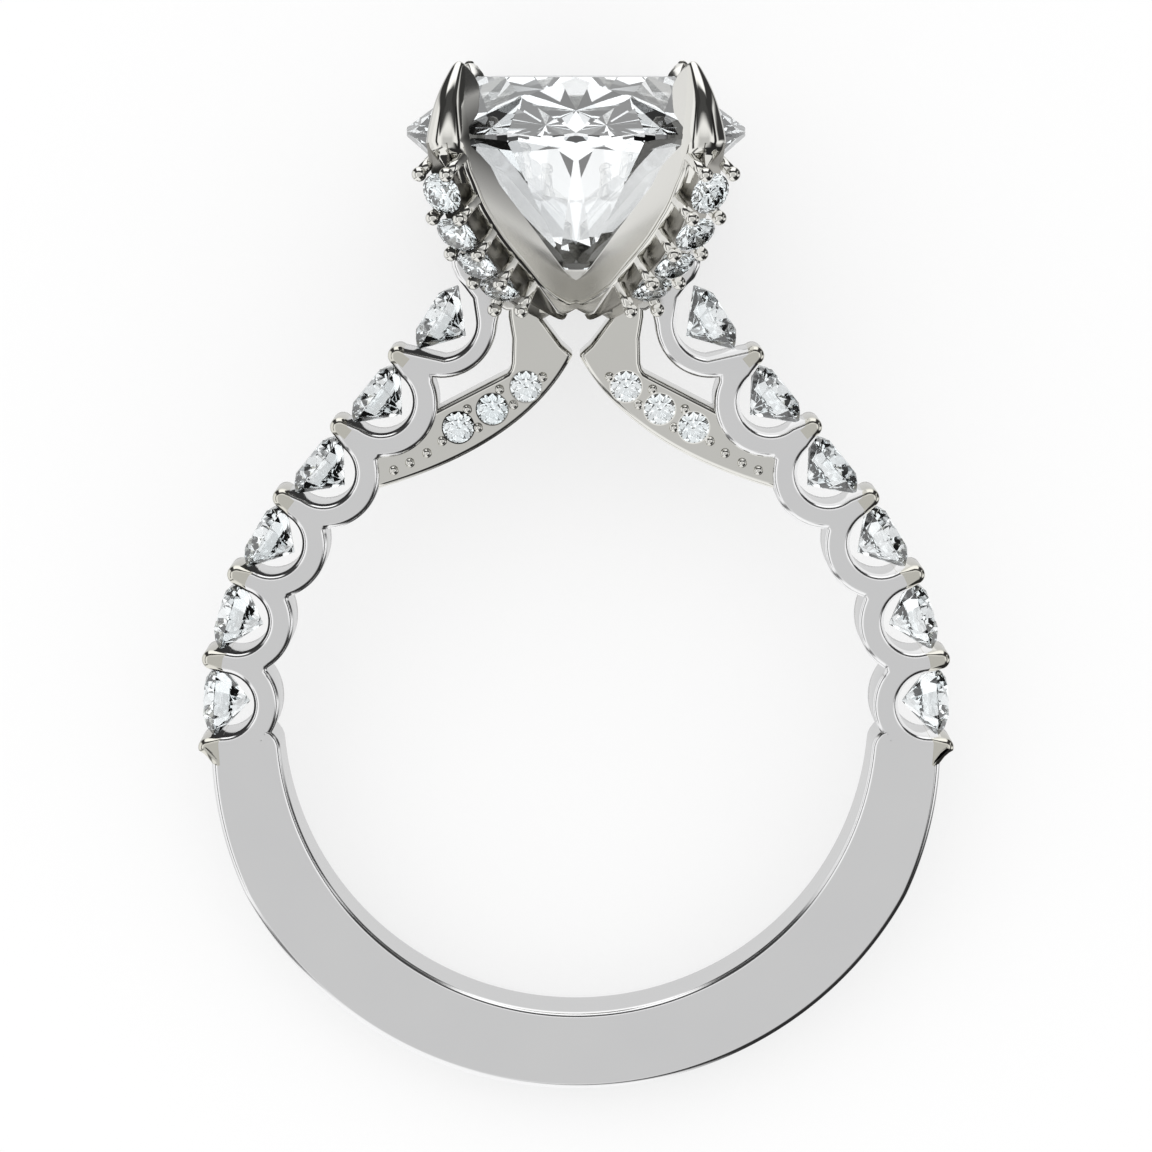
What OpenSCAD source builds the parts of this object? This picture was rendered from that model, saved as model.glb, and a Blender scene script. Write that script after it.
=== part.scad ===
// Cathedral ring: an oval stone in a four-claw basket, stone-set arms, scalloped shoulders and a bridge.
// Millimetres. The ring is drawn upright, finger axis along Y, and then laid on its back, where it rests.

/* [Band] */
// Inside diameter of the finger circle
finger_diameter = 17.3; // [17.1:0.1:17.5]
// Width of the band along the finger
band_width = 2.0; // [1.9:0.05:2.1]
// Wall of the plain shank at its foot
shank_thickness = 2.32; // [2.2:0.02:2.4]
// Radius on the outer edges of the shank
outer_edge_radius = 0.2; // [0.1:0.02:0.3]
// Radius on the inner edges of the shank
inner_edge_radius = 0.09; // [0.05:0.01:0.15]

/* [Shoulders] */
// Diameter of each round shoulder stone
shoulder_stone = 2.2; // [2.1:0.02:2.26]
// Width of the posts between the shoulder stones
post_width = 0.56; // [0.5:0.02:0.6]
// Metal left under each scallop
scallop_floor = 0.75; // [0.6:0.05:0.8]

/* [Centre stone] */
// Oval stone, across the finger
oval_width = 9.7; // [9.5:0.1:9.9]
// Oval stone, along the finger
oval_length = 13.6; // [13.4:0.1:13.8]
// Thickness of the oval stone's girdle
oval_girdle = 0.26; // [0.2:0.02:0.3]

/* [Arms and claws] */
// Angle of each arm away from the finger axis, seen from above
arm_angle = 33; // [32:1:34]
// Diameter of the round stones along the arms
rail_stone = 1.2; // [1.12:0.02:1.22]
// Width of the outer rail that carries them
rail_width = 1.36; // [1.36:0.02:1.44]
// Thickness of the flat inner blade
blade_thickness = 1.0; // [0.9:0.05:1.1]
// Diameter of the shared claws on the rail
rail_claw = 0.36; // [0.32:0.02:0.36]

/* [Bridge] */
// Diameter of the round stones in the bridge
bridge_stone = 0.9; // [0.84:0.02:0.92]
// Diameter of the beads that hold them
bead = 0.3; // [0.26:0.02:0.32]
// How far the bridge lies behind each face of the band
bridge_recess = 0.1; // [0.06:0.02:0.14]

/* [Hidden] */
$fn = 48;
// Finer facets for the shank's large circles, and coarser ones for the beads
shank_facets = 96;
bead_facets = 24;
metal_colour = [0.76, 0.76, 0.74];
stone_colour = [0.9, 0.95, 1.0, 0.6];
// Air between each stone and the metal that holds it
seat_gap = 0.03;
// Overlap that joins one piece of metal to the next
weld = 0.2;

// Facets of a cut stone: eight mains, and two girdle facets to each of them and its neighbours
mains = 8;
main_step = 360 / mains;
rim_facets = 2 * mains;
star_share = 0.52;
lower_share = 0.24;
// Proportions of a round stone, in parts of its diameter
round_girdle = 0.035;
round_crown = 0.15;
round_pavilion = 0.43;
round_table = 0.57;

// Shank
inner_radius = finger_diameter / 2;
outer_radius = inner_radius + shank_thickness;
half_width = band_width / 2;
shank_end_angle = 3;
// The outer wall runs on past the inner wall's ends to this angle
outer_end_angle = 1;
corner_steps = 4;
inner_corner_steps = 2;
// The shank thins towards the shoulders: a second circle, set lower, trims it there
trim_drop = 0.749;
trim_radius = outer_radius - 0.33;
// Where the two circles cross, seen from the finger axis and from the lower circle's middle
trim_cross = (pow(trim_radius, 2) - pow(outer_radius, 2) - pow(trim_drop, 2)) / (2 * trim_drop);
trim_angle = asin(-trim_cross / outer_radius);
trim_meet_angle = asin((-trim_cross - trim_drop) / trim_radius);
trim_overlap = 2;
inner_wall_radius = inner_radius + shank_thickness / 2;

// Shoulder line: an arc round the finger that runs out straight towards the head
cup_radius = shoulder_stone * 0.418;
cup_drop = cup_radius * 0.7065;
line_radius = inner_radius + scallop_floor + cup_radius + cup_drop;
line_start = -2.3;
lift_angle = 39.2;
arc_run = line_radius * (lift_angle - line_start) * PI / 180;
post_half = post_width / 2;
tip_rise = 0.08;
girdle_drop = 0.42;
bump_radius = 1.6;
// The bumps stop this far short of the shoulder line
bump_top_gap = 0.15;
bump_drop = line_radius - inner_radius - bump_radius;
// The last cell before the head stands at a fixed distance from the middle
last_cell_x = 3.87;
last_cell_drop = 0.573;
last_cell_tilt = 32.5;
last_run = arc_run + ((line_radius - last_cell_drop) * cos(lift_angle) - last_cell_x) / sin(lift_angle);
cells = 6;
// The last cell's own spacing is a little longer than the rest
last_cell_extra = 0.2;
pitch = (last_run - last_cell_extra + post_half) / (cells - 0.5);
cup_mouth = pitch / 2 - post_half;
// Line of the small beak where the last post drops to the shank, along and off the shoulder line
beak_outline = [[-0.03, 0], [-0.21, -0.15], [-0.47, -0.29], [-0.73, -0.37], [-1.6, -0.47]];
beak_root = [[-1.6, -2.2], [post_half, -2.2], [post_half, -0.4]];
// The cups' side walls turn straight this far inside the shoulder line
cup_mouth_depth = 0.2;
last_cup_radius = cup_radius * 1.09;
last_cell_z = path_point(last_run, -last_cell_drop)[1];
// Where the last cell's opening meets its cup: along, off and below the cell's middle, in cup radii
last_mouth = [0.8, 0.57, 0.3];
// Wall between the last cell and the base, and the open room above that cell, from the middle and the base
head_wall_outline = [
    [2.2, -0.25], [2.18, 0.6], [2.3, 1.1], [2.9, 1.5], [3.3, 1.62], [3.5, 1.5], [3.54, 1.25], [3.4, 0.95],
    [3.2, 0.7], [3.1, 0.2], [3.0, -0.8], [2.4, -0.8]
];
head_room_outline = [
    [6.6, 2.6], [4.6, 2.6], [3.62, 1.4], [3.55, 1.25], [3.42, 0.95], [3.2, 0.68], [2.96, 0.35], [2.88, -0.2]
];

// Head: heights in the head are counted from the underside of its base
head_z = last_cell_z + 0.34;
oval_a = oval_width / 2;
oval_b = oval_length / 2;
pavilion_angle = 41;
oval_pavilion = oval_a * tan(pavilion_angle);
oval_crown = 1.45;
oval_table = 0.58;
culet_height = 0.73;
girdle_height = culet_height + oval_pavilion;
drawn_reach = 5.995;
drawn_height = 4.946;
reach = 1 / sqrt(pow(sin(arm_angle) / oval_a, 2) + pow(cos(arm_angle) / oval_b, 2));
foot_reach = 1.4;
arm_azimuths = [270 - arm_angle, 270 + arm_angle, 90 + arm_angle, 90 - arm_angle];

// Arm outlines as radius and height, drawn for the base size and carried to others by arm_point
blade_outline = [
    [0.2, 0.05], [1.2, -0.02], [1.67, -0.01], [3.3, 1.38], [4.45, 2.33], [5.57, 3.31], [6.0, 4.08],
    [6.32, 4.9], [6.2, 4.93], [5.6, 4.62], [5.0, 4.22], [4.56, 3.66], [3.65, 2.99], [2.72, 2.28], [1.49, 1.25],
    [0.2, 0.9]
];
rail_inside = [[6.1, 4.45], [5.85, 4.25], [5.35, 3.45], [4.35, 2.6], [3.2, 1.65], [1.9, 0.55], [0.9, 0.35]];
rail_foot = [[0.95, 0.0], [1.45, -0.24], [2.15, -0.08], [2.85, -0.02]];
rail_head = [[7.05, 4.2], [6.9, 4.45]];
rail_stones = [[3.95, 0.76, -60], [5.02, 1.48, -52], [6.01, 2.38, -40], [6.71, 3.53, -23]];
rail_claws = [[3.52, 0.16, -62], [4.57, 0.98, -56], [5.65, 1.83, -47], [6.5, 2.85, -33], [7.14, 4.06, -14]];
rail_sink = 0.25;
rail_claw_side = 0.48;
rail_claw_length = 0.7;
rail_claw_swell = 1.12;
claw_outline = [
    [6.38, 4.3], [6.38, 5.86], [6.3, 6.2], [5.97, 6.9], [5.8, 7.04], [5.6, 6.95], [5.38, 6.72], [5.25, 6.45],
    [5.36, 6.1], [5.53, 5.69], [5.9, 5.3], [5.95, 4.7], [5.95, 4.3]
];
claw_axis = 6.37;
claw_column = [[0.67, 4.1], [0.6, 4.83], [0.41, 5.86]];
claw_end = [5.95, 6.93, 0.16];
claw_flat = 0.62;
claw_swell = 1.02;

// Bridge outlines as distance from the middle and height
bridge_foot = [5.5, -5.08];
bridge_sweep = [1.45, -3.84];
bridge_tip = [0.11, -1.32];
bridge_inside = [[0.11, -1.25], [0.41, -0.97], [0.95, -0.25], [1.0, 0.3], [1.92, 0.3]];
bridge_outside = [
    [1.94, -0.17], [1.84, -0.8], [1.86, -1.5], [1.94, -1.74], [2.12, -1.84], [3.85, -2.75], [4.4, -3.04]
];
bridge_root = [[5.4, -3.74], [6.3, -4.74], [5.9, -5.2]];
bridge_stones = [[1.44, -2.18], [2.41, -2.83], [3.39, -3.36]];
bridge_beads = [
    [0.96, -1.9], [2.2, -2.26], [1.8, -2.7], [3.13, -2.83], [2.82, -3.36], [3.86, -3.75], [4.3, -4.1],
    [4.79, -4.38], [5.26, -4.6]
];
bridge_half = half_width - bridge_recess;
bridge_girdle_drop = 0.07;
bead_drop = 0.02;
sweep_steps = 10;
base_height = 1.2;
base_outline = [[0, 0], [2.0, 0], [2.25, 0.15], [2.9, 0.7], [2.95, base_height], [0, base_height]];
culet_hole = 0.7;

// Rest: the ring leans back until the shank's rear edge and the oval's rear end both touch the floor
lean_run = oval_b - half_width + outer_edge_radius;
lean_rise = head_z + girdle_height + outer_radius - outer_edge_radius;
lean_span = sqrt(pow(lean_run, 2) + pow(lean_rise, 2));
lean_angle = acos(outer_edge_radius / lean_span) - atan2(lean_rise, lean_run);
rest_height = oval_b * cos(lean_angle) - (head_z + girdle_height) * sin(lean_angle);
// Shift that puts the middle of the ring's length over the origin
claw_tip = arm_point(claw_end);
head_end = claw_tip[0] * cos(arm_angle) * sin(lean_angle) + (head_z + claw_tip[1]) * cos(lean_angle)
    + claw_end[2];
foot_end = (half_width - outer_edge_radius) * sin(lean_angle)
    + (outer_radius - outer_edge_radius) * cos(lean_angle) + outer_edge_radius;
length_shift = (head_end - foot_end) / 2;

// Points along a circular arc
function arc_points(centre, radius, from, to, steps) = [
    for (i = [0:steps])
        let (angle = from + (to - from) * i / steps)
            [centre[0] + radius * cos(angle), centre[1] + radius * sin(angle)]
];

// Points along a curve pulled towards a middle point
function sweep_points(start, pull, finish, steps) = [
    for (i = [0:steps])
        let (t = i / steps)
            start * (1 - t) * (1 - t) + pull * 2 * t * (1 - t) + finish * t * t
];

// Direction of the shoulder line's outward normal at a run along it
function path_angle(run) = run < arc_run ? line_start + run / line_radius * 180 / PI : lift_angle;

// Point at a run along the shoulder line and a height off it
function path_point(run, height) =
    let (angle = path_angle(run), past = max(0, run - arc_run), radius = line_radius + height)
        [radius * cos(angle) - past * sin(angle), radius * sin(angle) + past * cos(angle)];

// Run of each cell's middle, counted from the shank: cell 1 is the one next to the head
function cell_run(cell) = cell == 1 ? last_run : (cells - cell + 0.5) * pitch - post_half;
function cell_tilt(cell) = cell == 1 ? last_cell_tilt : path_angle(cell_run(cell));
function cell_point(cell, drop) =
    let (
        base_drop = cell == 1 ? last_cell_drop : cup_drop,
        base = path_point(cell_run(cell), -base_drop),
        rise = base_drop - drop,
        tilt = cell_tilt(cell)
    )
        [base[0] + rise * cos(tilt), base[1] + rise * sin(tilt)];

// Carries a drawn arm point to the present stone size
function arm_point(p) = [
    foot_reach + (p[0] - foot_reach) * (reach - foot_reach) / (drawn_reach - foot_reach),
    p[1] * girdle_height / drawn_height
];
function arm_points(list) = [for (p = list) arm_point(p)];

// Outer line of the rail: it runs just under the girdles of its stones
function rail_seat(s) =
    let (p = arm_point(s))
        [p[0] - rail_sink * cos(s[2]), p[1] - rail_sink * sin(s[2])];

// Point of an oval ring at an angle and a height
function ring_point(a, b, angle, height) = [a * cos(angle), b * sin(angle), height];

// Corner points of a cut stone with eight mains, its girdle's upper edge at zero
function stone_points(a, b, crown, girdle, pavilion, table, split) =
    let (
        half_step = main_step / 2,
        star = table + (1 - table) * star_share,
        star_height = crown * (1 - star * cos(half_step)) / (1 - table),
        lower_depth = girdle + pavilion * (1 - lower_share * cos(half_step)),
        rim = rim_facets * split
    )
        concat(
            [for (k = [0:mains - 1]) ring_point(a * table, b * table, main_step * k, crown)],
            [for (k = [0:mains - 1]) ring_point(a * star, b * star, main_step * k + half_step, star_height)],
            [for (j = [0:rim - 1]) ring_point(a, b, 360 * j / rim, 0)],
            [for (j = [0:rim - 1]) ring_point(a, b, 360 * j / rim, -girdle)],
            [
                for (k = [0:mains - 1])
                    ring_point(a * lower_share, b * lower_share, main_step * k + half_step, -lower_depth)
            ],
            [[0, 0, -girdle - pavilion]]
        );

// Facets of the same stone: table, stars, kites and girdle fans above, then mains and fans below
function stone_faces(split) =
    let (
        last = mains - 1,
        rim = rim_facets * split,
        fan = rim / mains,
        star = mains,
        top = star + mains,
        bottom = top + rim,
        lower = bottom + rim,
        culet = lower + mains
    )
        concat(
            [[for (k = [0:last]) last - k]],
            [for (k = [0:last]) [k, (k + 1) % mains, star + k]],
            [for (k = [0:last]) [k, star + k, top + k * fan, star + (k + last) % mains]],
            [
                for (k = [0:last], i = [0:fan - 1])
                    [star + k, top + (k * fan + i + 1) % rim, top + k * fan + i]
            ],
            [for (j = [0:rim - 1]) [top + j, top + (j + 1) % rim, bottom + (j + 1) % rim, bottom + j]],
            [
                for (k = [0:last], i = [0:fan - 1])
                    [lower + k, bottom + k * fan + i, bottom + (k * fan + i + 1) % rim]
            ],
            [for (k = [0:last]) [culet, lower + (k + last) % mains, bottom + k * fan, lower + k]]
        );

// A round stone, its girdle's middle at the origin and its table up
module round_stone(diameter) {
    radius = diameter / 2;
    girdle = diameter * round_girdle;
    translate([0, 0, girdle / 2])
        polyhedron(
            points = stone_points(
                radius, radius, diameter * round_crown, girdle, diameter * round_pavilion, round_table, 1
            ),
            faces = stone_faces(1)
        );
}

// The room that a round stone needs: its outline with a gap all round, opened above by the mouth height
module round_seat(diameter, mouth) {
    radius = diameter / 2 + seat_gap;
    girdle = diameter * round_girdle;
    crown_top = diameter * round_crown + seat_gap * 1.5;
    table_radius = diameter * round_table / 2 + seat_gap * 2;
    culet_depth = diameter * round_pavilion + girdle / 2 + seat_gap * 1.6;
    rotate_extrude()
        polygon([
            [0, -culet_depth],
            [radius, -girdle / 2 - seat_gap / 2],
            [radius, girdle / 2 + seat_gap / 2 + mouth],
            [table_radius, crown_top + mouth],
            [0, crown_top + mouth]
        ]);
}

// The oval stone, or the room it needs when gap is above zero
module oval_stone(gap) {
    translate([0, 0, head_z + girdle_height + oval_girdle + gap])
        polyhedron(
            points = stone_points(
                oval_a + gap, oval_b + gap, oval_crown + gap, oval_girdle + 2 * gap,
                oval_pavilion + gap, oval_table, 2
            ),
            faces = stone_faces(2)
        );
}

// Lays the upright ring on its back
module laid_down() {
    translate([0, -length_shift, rest_height])
        rotate([lean_angle - 90, 0, 0])
            children();
}

// Turns a drawing in X and Y upright, into X and Z
module upright() {
    rotate([90, 0, 0])
        children();
}

// Places a stone or its seat in a shoulder cell of the right side
module in_cell(cell) {
    p = cell_point(cell, girdle_drop);
    translate([p[0], 0, p[1]])
        rotate([0, 90 - cell_tilt(cell), 0])
            children();
}

// Turns the right side into the left
module on_side(left) {
    mirror([left ? 1 : 0, 0, 0])
        children();
}

// Places a piece that is drawn along an arm, radius along X
module on_arm(index) {
    translate([0, 0, head_z])
        rotate([0, 0, arm_azimuths[index]])
            children();
}

// Places a stone, seat or claw on the rail at a drawn radius, height and slope
module on_rail(s) {
    p = arm_point(s);
    translate([p[0], 0, p[1]])
        rotate([0, 90 - s[2], 0])
            children();
}

// Places a stone, seat or bead on a face of the bridge, right side
module on_bridge(p, back, drop) {
    face = bridge_half - drop;
    translate([p[0], back ? face : -face, head_z + p[1]])
        rotate([back ? -90 : 90, 0, 0])
            children();
}

// Section of the shank's outer wall: radius against width, with rounded outer corners
function outer_section(inner, outer) = concat(
    [[inner, -half_width]],
    arc_points([outer - outer_edge_radius, -half_width + outer_edge_radius], outer_edge_radius, 270, 360, corner_steps),
    arc_points([outer - outer_edge_radius, half_width - outer_edge_radius], outer_edge_radius, 0, 90, corner_steps),
    [[inner, half_width]]
);

// A ring segment of the shank, between two angles
module shank_segment(section, from, to) {
    rotate([0, 0, from])
        rotate_extrude(angle = to - from, $fn = shank_facets)
            polygon(section);
}

// The plain shank: an inner wall all round, and an outer wall that the lower circle thins towards both ends
module shank() {
    upright() {
        shank_segment(
            concat(
                arc_points([inner_radius + inner_edge_radius, -half_width + inner_edge_radius],
                    inner_edge_radius, 180, 270, inner_corner_steps),
                [[inner_wall_radius, -half_width], [inner_wall_radius, half_width]],
                arc_points([inner_radius + inner_edge_radius, half_width - inner_edge_radius],
                    inner_edge_radius, 90, 180, inner_corner_steps)
            ),
            180 + shank_end_angle, 360 - shank_end_angle
        );
        shank_segment(
            outer_section(inner_wall_radius - weld, outer_radius),
            180 + trim_angle - trim_overlap, 360 - trim_angle + trim_overlap
        );
        translate([0, -trim_drop])
            for (side = [0, 1])
                mirror([side, 0, 0])
                    shank_segment(
                        outer_section(inner_wall_radius - weld, trim_radius),
                        -trim_meet_angle + trim_overlap / 2, -outer_end_angle
                    );
    }
}

// A flat piece placed on the shoulder line, its Y pointing away from the finger
module at_run(run, height) {
    p = path_point(run, height);
    translate(p)
        rotate(path_angle(run) - 90)
            children();
}

// A cell's own frame, placed at the middle of its cup
module at_cup(cell) {
    p = cell_point(cell, cell == 1 ? last_cell_drop : cup_drop);
    translate(p)
        rotate(cell_tilt(cell) - 90)
            children();
}

// Outline of one shoulder before the cups are cut
module shoulder_outline() {
    for (cell = [2:cells])
        at_run(cell_run(cell), -bump_drop)
            intersection() {
                circle(bump_radius);
                translate([-bump_radius, -2 * bump_radius])
                    square([2 * bump_radius, 2 * bump_radius + bump_drop - bump_top_gap]);
            }
    for (post = [1:cells])
        at_run((cells - post) * pitch - post_half, 0) {
            translate([0, tip_rise - post_half])
                circle(post_half);
            translate([-post_half, -bump_drop - weld])
                square([post_width, bump_drop + weld + tip_rise - post_half]);
        }
    at_run(-post_half, 0)
        polygon(concat(beak_outline, beak_root));
    last_cell_outline();
}

// Outline of the cell next to the head, with the wall that rises to the base
module last_cell_outline() {
    at_cup(1)
        intersection() {
            circle(bump_radius);
            translate([-2 * bump_radius, -2 * bump_radius])
                square([4 * bump_radius, 2 * bump_radius]);
        }
    translate([0, head_z])
        polygon(head_wall_outline);
}

// The cups that leave the posts standing
module cups() {
    for (cell = [2:cells])
        at_cup(cell) {
            circle(cup_radius);
            polygon([
                [-cup_radius, 0], [cup_radius, 0], [cup_mouth, cup_drop - cup_mouth_depth], [cup_mouth, bump_radius],
                [-cup_mouth, bump_radius], [-cup_mouth, cup_drop - cup_mouth_depth]
            ]);
        }
    at_cup(1)
        circle(last_cup_radius);
    wall = (cells - 1) * pitch;
    polygon(concat(
        [
            path_point(
                last_run - last_cup_radius * last_mouth[0],
                -last_cell_drop - last_cup_radius * last_mouth[1]
            ),
            path_point(wall, tip_rise - post_half),
            path_point(wall, bump_radius)
        ],
        [for (p = head_room_outline) [p[0], head_z + p[1]]],
        [cell_point(1, last_cell_drop + last_cup_radius * last_mouth[2])]
    ));
}

// One half of the bridge as a flat outline
module bridge_outline() {
    translate([0, head_z])
        polygon(concat(
            sweep_points(bridge_foot, bridge_sweep, bridge_tip, sweep_steps),
            bridge_inside,
            bridge_outside,
            bridge_root
        ));
}

// One shoulder with its half of the bridge and of the base, right side
module shoulder() {
    difference() {
        union() {
            upright() {
                linear_extrude(band_width, center = true)
                    shoulder_outline();
                linear_extrude(2 * bridge_half, center = true)
                    bridge_outline();
            }
        }
        upright()
            linear_extrude(band_width * 2, center = true)
                cups();
        for (back = [false, true], p = bridge_stones)
            on_bridge(p, back, bridge_girdle_drop)
                round_seat(bridge_stone, bridge_stone);
    }
}

// The beads that hold the bridge stones, right side
module bridge_beads() {
    for (back = [false, true], p = bridge_beads)
        on_bridge(p, back, bead_drop)
            sphere(d = bead, $fn = bead_facets);
}

// The base under the centre stone
module base() {
    translate([0, 0, head_z])
        difference() {
            upright()
                linear_extrude(band_width, center = true)
                    polygon(concat(
                        base_outline,
                        [for (i = [len(base_outline) - 1:-1:0]) [-base_outline[i][0], base_outline[i][1]]]
                    ));
            translate([0, 0, base_height / 2])
                cylinder(r = culet_hole, h = 2 * base_height, center = true);
        }
}

// A short rod with a round end, the ball's middle at the origin
module ball_claw() {
    translate([0, 0, -rail_claw_length])
        cylinder(d = rail_claw, h = rail_claw_length);
    sphere(d = rail_claw * rail_claw_swell);
}

// The flat blade and the rail outside it, radius along X
module arm_body() {
    upright()
        linear_extrude(blade_thickness, center = true)
            polygon(arm_points(blade_outline));
    upright()
        linear_extrude(rail_width, center = true)
            polygon(concat(
                arm_points(rail_foot),
                [for (s = rail_stones) rail_seat(s)],
                arm_points(rail_head),
                arm_points(rail_inside)
            ));
}

// The claw that holds the centre stone: a curved fang with a flat inner side
module main_claw() {
    upright()
        linear_extrude(claw_flat, center = true)
            polygon(arm_points(claw_outline));
    heights = [for (level = claw_column) arm_point([claw_axis, level[1]])[1]];
    top = len(claw_column) - 1;
    top_radius = claw_column[top][0];
    from = arm_point([claw_axis, claw_column[top][1]]);
    run = claw_tip - from;
    translate([from[0], 0, 0])
        rotate_extrude()
            polygon(concat(
                [[0, heights[0]]],
                [for (i = [0:top]) [claw_column[i][0], heights[i]]],
                [[0, heights[top]]]
            ));
    translate([from[0], 0, from[1]]) {
        sphere(top_radius * claw_swell);
        rotate([0, atan2(run[0], run[1]), 0])
            cylinder(r1 = top_radius, r2 = claw_end[2], h = norm(run));
    }
    translate([claw_tip[0], 0, claw_tip[1]])
        sphere(claw_end[2] * claw_swell);
}

// One arm cut for its stones, with its claw and shared claws, radius along X
module arm() {
    difference() {
        union() {
            arm_body();
            main_claw();
        }
        for (s = rail_stones)
            on_rail(s)
                round_seat(rail_stone, 0);
    }
    for (s = rail_claws, side = [-1, 1])
        translate([0, side * rail_claw_side, 0])
            on_rail(s)
                ball_claw();
}

// All the metal, soldered into one piece
module mounting() {
    color(metal_colour)
        laid_down() {
            shank();
            for (left = [false, true])
                on_side(left) {
                    difference() {
                        shoulder();
                        for (cell = [1:cells])
                            in_cell(cell)
                                round_seat(shoulder_stone, 0);
                    }
                    bridge_beads();
                }
            difference() {
                union() {
                    base();
                    for (i = [0:3])
                        on_arm(i)
                            arm();
                }
                oval_stone(seat_gap);
            }
        }
}

module centre_stone() {
    color(stone_colour)
        laid_down()
            oval_stone(0);
}

// A shoulder stone in its cell
module shoulder_round(left, cell) {
    color(stone_colour)
        laid_down()
            on_side(left)
                in_cell(cell)
                    round_stone(shoulder_stone);
}

// A bridge stone on the front or back face
module bridge_round(left, back, place) {
    color(stone_colour)
        laid_down()
            on_side(left)
                on_bridge(bridge_stones[place - 1], back, bridge_girdle_drop)
                    round_stone(bridge_stone);
}

// A stone on one of the four rails, counted from the foot up
module rail_round(arm_index, place) {
    color(stone_colour)
        laid_down()
            on_arm(arm_index)
                on_rail(rail_stones[place - 1])
                    round_stone(rail_stone);
}

module shoulder_stone_left_1() {
    shoulder_round(true, 1);
}

module shoulder_stone_left_2() {
    shoulder_round(true, 2);
}

module shoulder_stone_left_3() {
    shoulder_round(true, 3);
}

module shoulder_stone_left_4() {
    shoulder_round(true, 4);
}

module shoulder_stone_left_5() {
    shoulder_round(true, 5);
}

module shoulder_stone_left_6() {
    shoulder_round(true, 6);
}

module shoulder_stone_right_1() {
    shoulder_round(false, 1);
}

module shoulder_stone_right_2() {
    shoulder_round(false, 2);
}

module shoulder_stone_right_3() {
    shoulder_round(false, 3);
}

module shoulder_stone_right_4() {
    shoulder_round(false, 4);
}

module shoulder_stone_right_5() {
    shoulder_round(false, 5);
}

module shoulder_stone_right_6() {
    shoulder_round(false, 6);
}

module bridge_stone_front_left_1() {
    bridge_round(true, false, 1);
}

module bridge_stone_front_left_2() {
    bridge_round(true, false, 2);
}

module bridge_stone_front_left_3() {
    bridge_round(true, false, 3);
}

module bridge_stone_front_right_1() {
    bridge_round(false, false, 1);
}

module bridge_stone_front_right_2() {
    bridge_round(false, false, 2);
}

module bridge_stone_front_right_3() {
    bridge_round(false, false, 3);
}

module bridge_stone_back_left_1() {
    bridge_round(true, true, 1);
}

module bridge_stone_back_left_2() {
    bridge_round(true, true, 2);
}

module bridge_stone_back_left_3() {
    bridge_round(true, true, 3);
}

module bridge_stone_back_right_1() {
    bridge_round(false, true, 1);
}

module bridge_stone_back_right_2() {
    bridge_round(false, true, 2);
}

module bridge_stone_back_right_3() {
    bridge_round(false, true, 3);
}

module rail_stone_front_left_1() {
    rail_round(0, 1);
}

module rail_stone_front_left_2() {
    rail_round(0, 2);
}

module rail_stone_front_left_3() {
    rail_round(0, 3);
}

module rail_stone_front_left_4() {
    rail_round(0, 4);
}

module rail_stone_front_right_1() {
    rail_round(1, 1);
}

module rail_stone_front_right_2() {
    rail_round(1, 2);
}

module rail_stone_front_right_3() {
    rail_round(1, 3);
}

module rail_stone_front_right_4() {
    rail_round(1, 4);
}

module rail_stone_back_left_1() {
    rail_round(2, 1);
}

module rail_stone_back_left_2() {
    rail_round(2, 2);
}

module rail_stone_back_left_3() {
    rail_round(2, 3);
}

module rail_stone_back_left_4() {
    rail_round(2, 4);
}

module rail_stone_back_right_1() {
    rail_round(3, 1);
}

module rail_stone_back_right_2() {
    rail_round(3, 2);
}

module rail_stone_back_right_3() {
    rail_round(3, 3);
}

module rail_stone_back_right_4() {
    rail_round(3, 4);
}

mounting();
centre_stone();
shoulder_stone_left_1();
shoulder_stone_left_2();
shoulder_stone_left_3();
shoulder_stone_left_4();
shoulder_stone_left_5();
shoulder_stone_left_6();
shoulder_stone_right_1();
shoulder_stone_right_2();
shoulder_stone_right_3();
shoulder_stone_right_4();
shoulder_stone_right_5();
shoulder_stone_right_6();
bridge_stone_front_left_1();
bridge_stone_front_left_2();
bridge_stone_front_left_3();
bridge_stone_front_right_1();
bridge_stone_front_right_2();
bridge_stone_front_right_3();
bridge_stone_back_left_1();
bridge_stone_back_left_2();
bridge_stone_back_left_3();
bridge_stone_back_right_1();
bridge_stone_back_right_2();
bridge_stone_back_right_3();
rail_stone_front_left_1();
rail_stone_front_left_2();
rail_stone_front_left_3();
rail_stone_front_left_4();
rail_stone_front_right_1();
rail_stone_front_right_2();
rail_stone_front_right_3();
rail_stone_front_right_4();
rail_stone_back_left_1();
rail_stone_back_left_2();
rail_stone_back_left_3();
rail_stone_back_left_4();
rail_stone_back_right_1();
rail_stone_back_right_2();
rail_stone_back_right_3();
rail_stone_back_right_4();
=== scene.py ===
"""Looks of the cathedral ring: polished metal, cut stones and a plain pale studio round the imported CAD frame.

Every piece is drawn in the ring's own upright millimetres (X across, Y along the finger, Z towards the head)
and then carried into the row frame, where the ring lies on its back.
"""

from __future__ import annotations

import logging
import math
from dataclasses import dataclass, field
from enum import Enum

import bmesh
import bpy
from mathutils import Matrix, Vector


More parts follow.
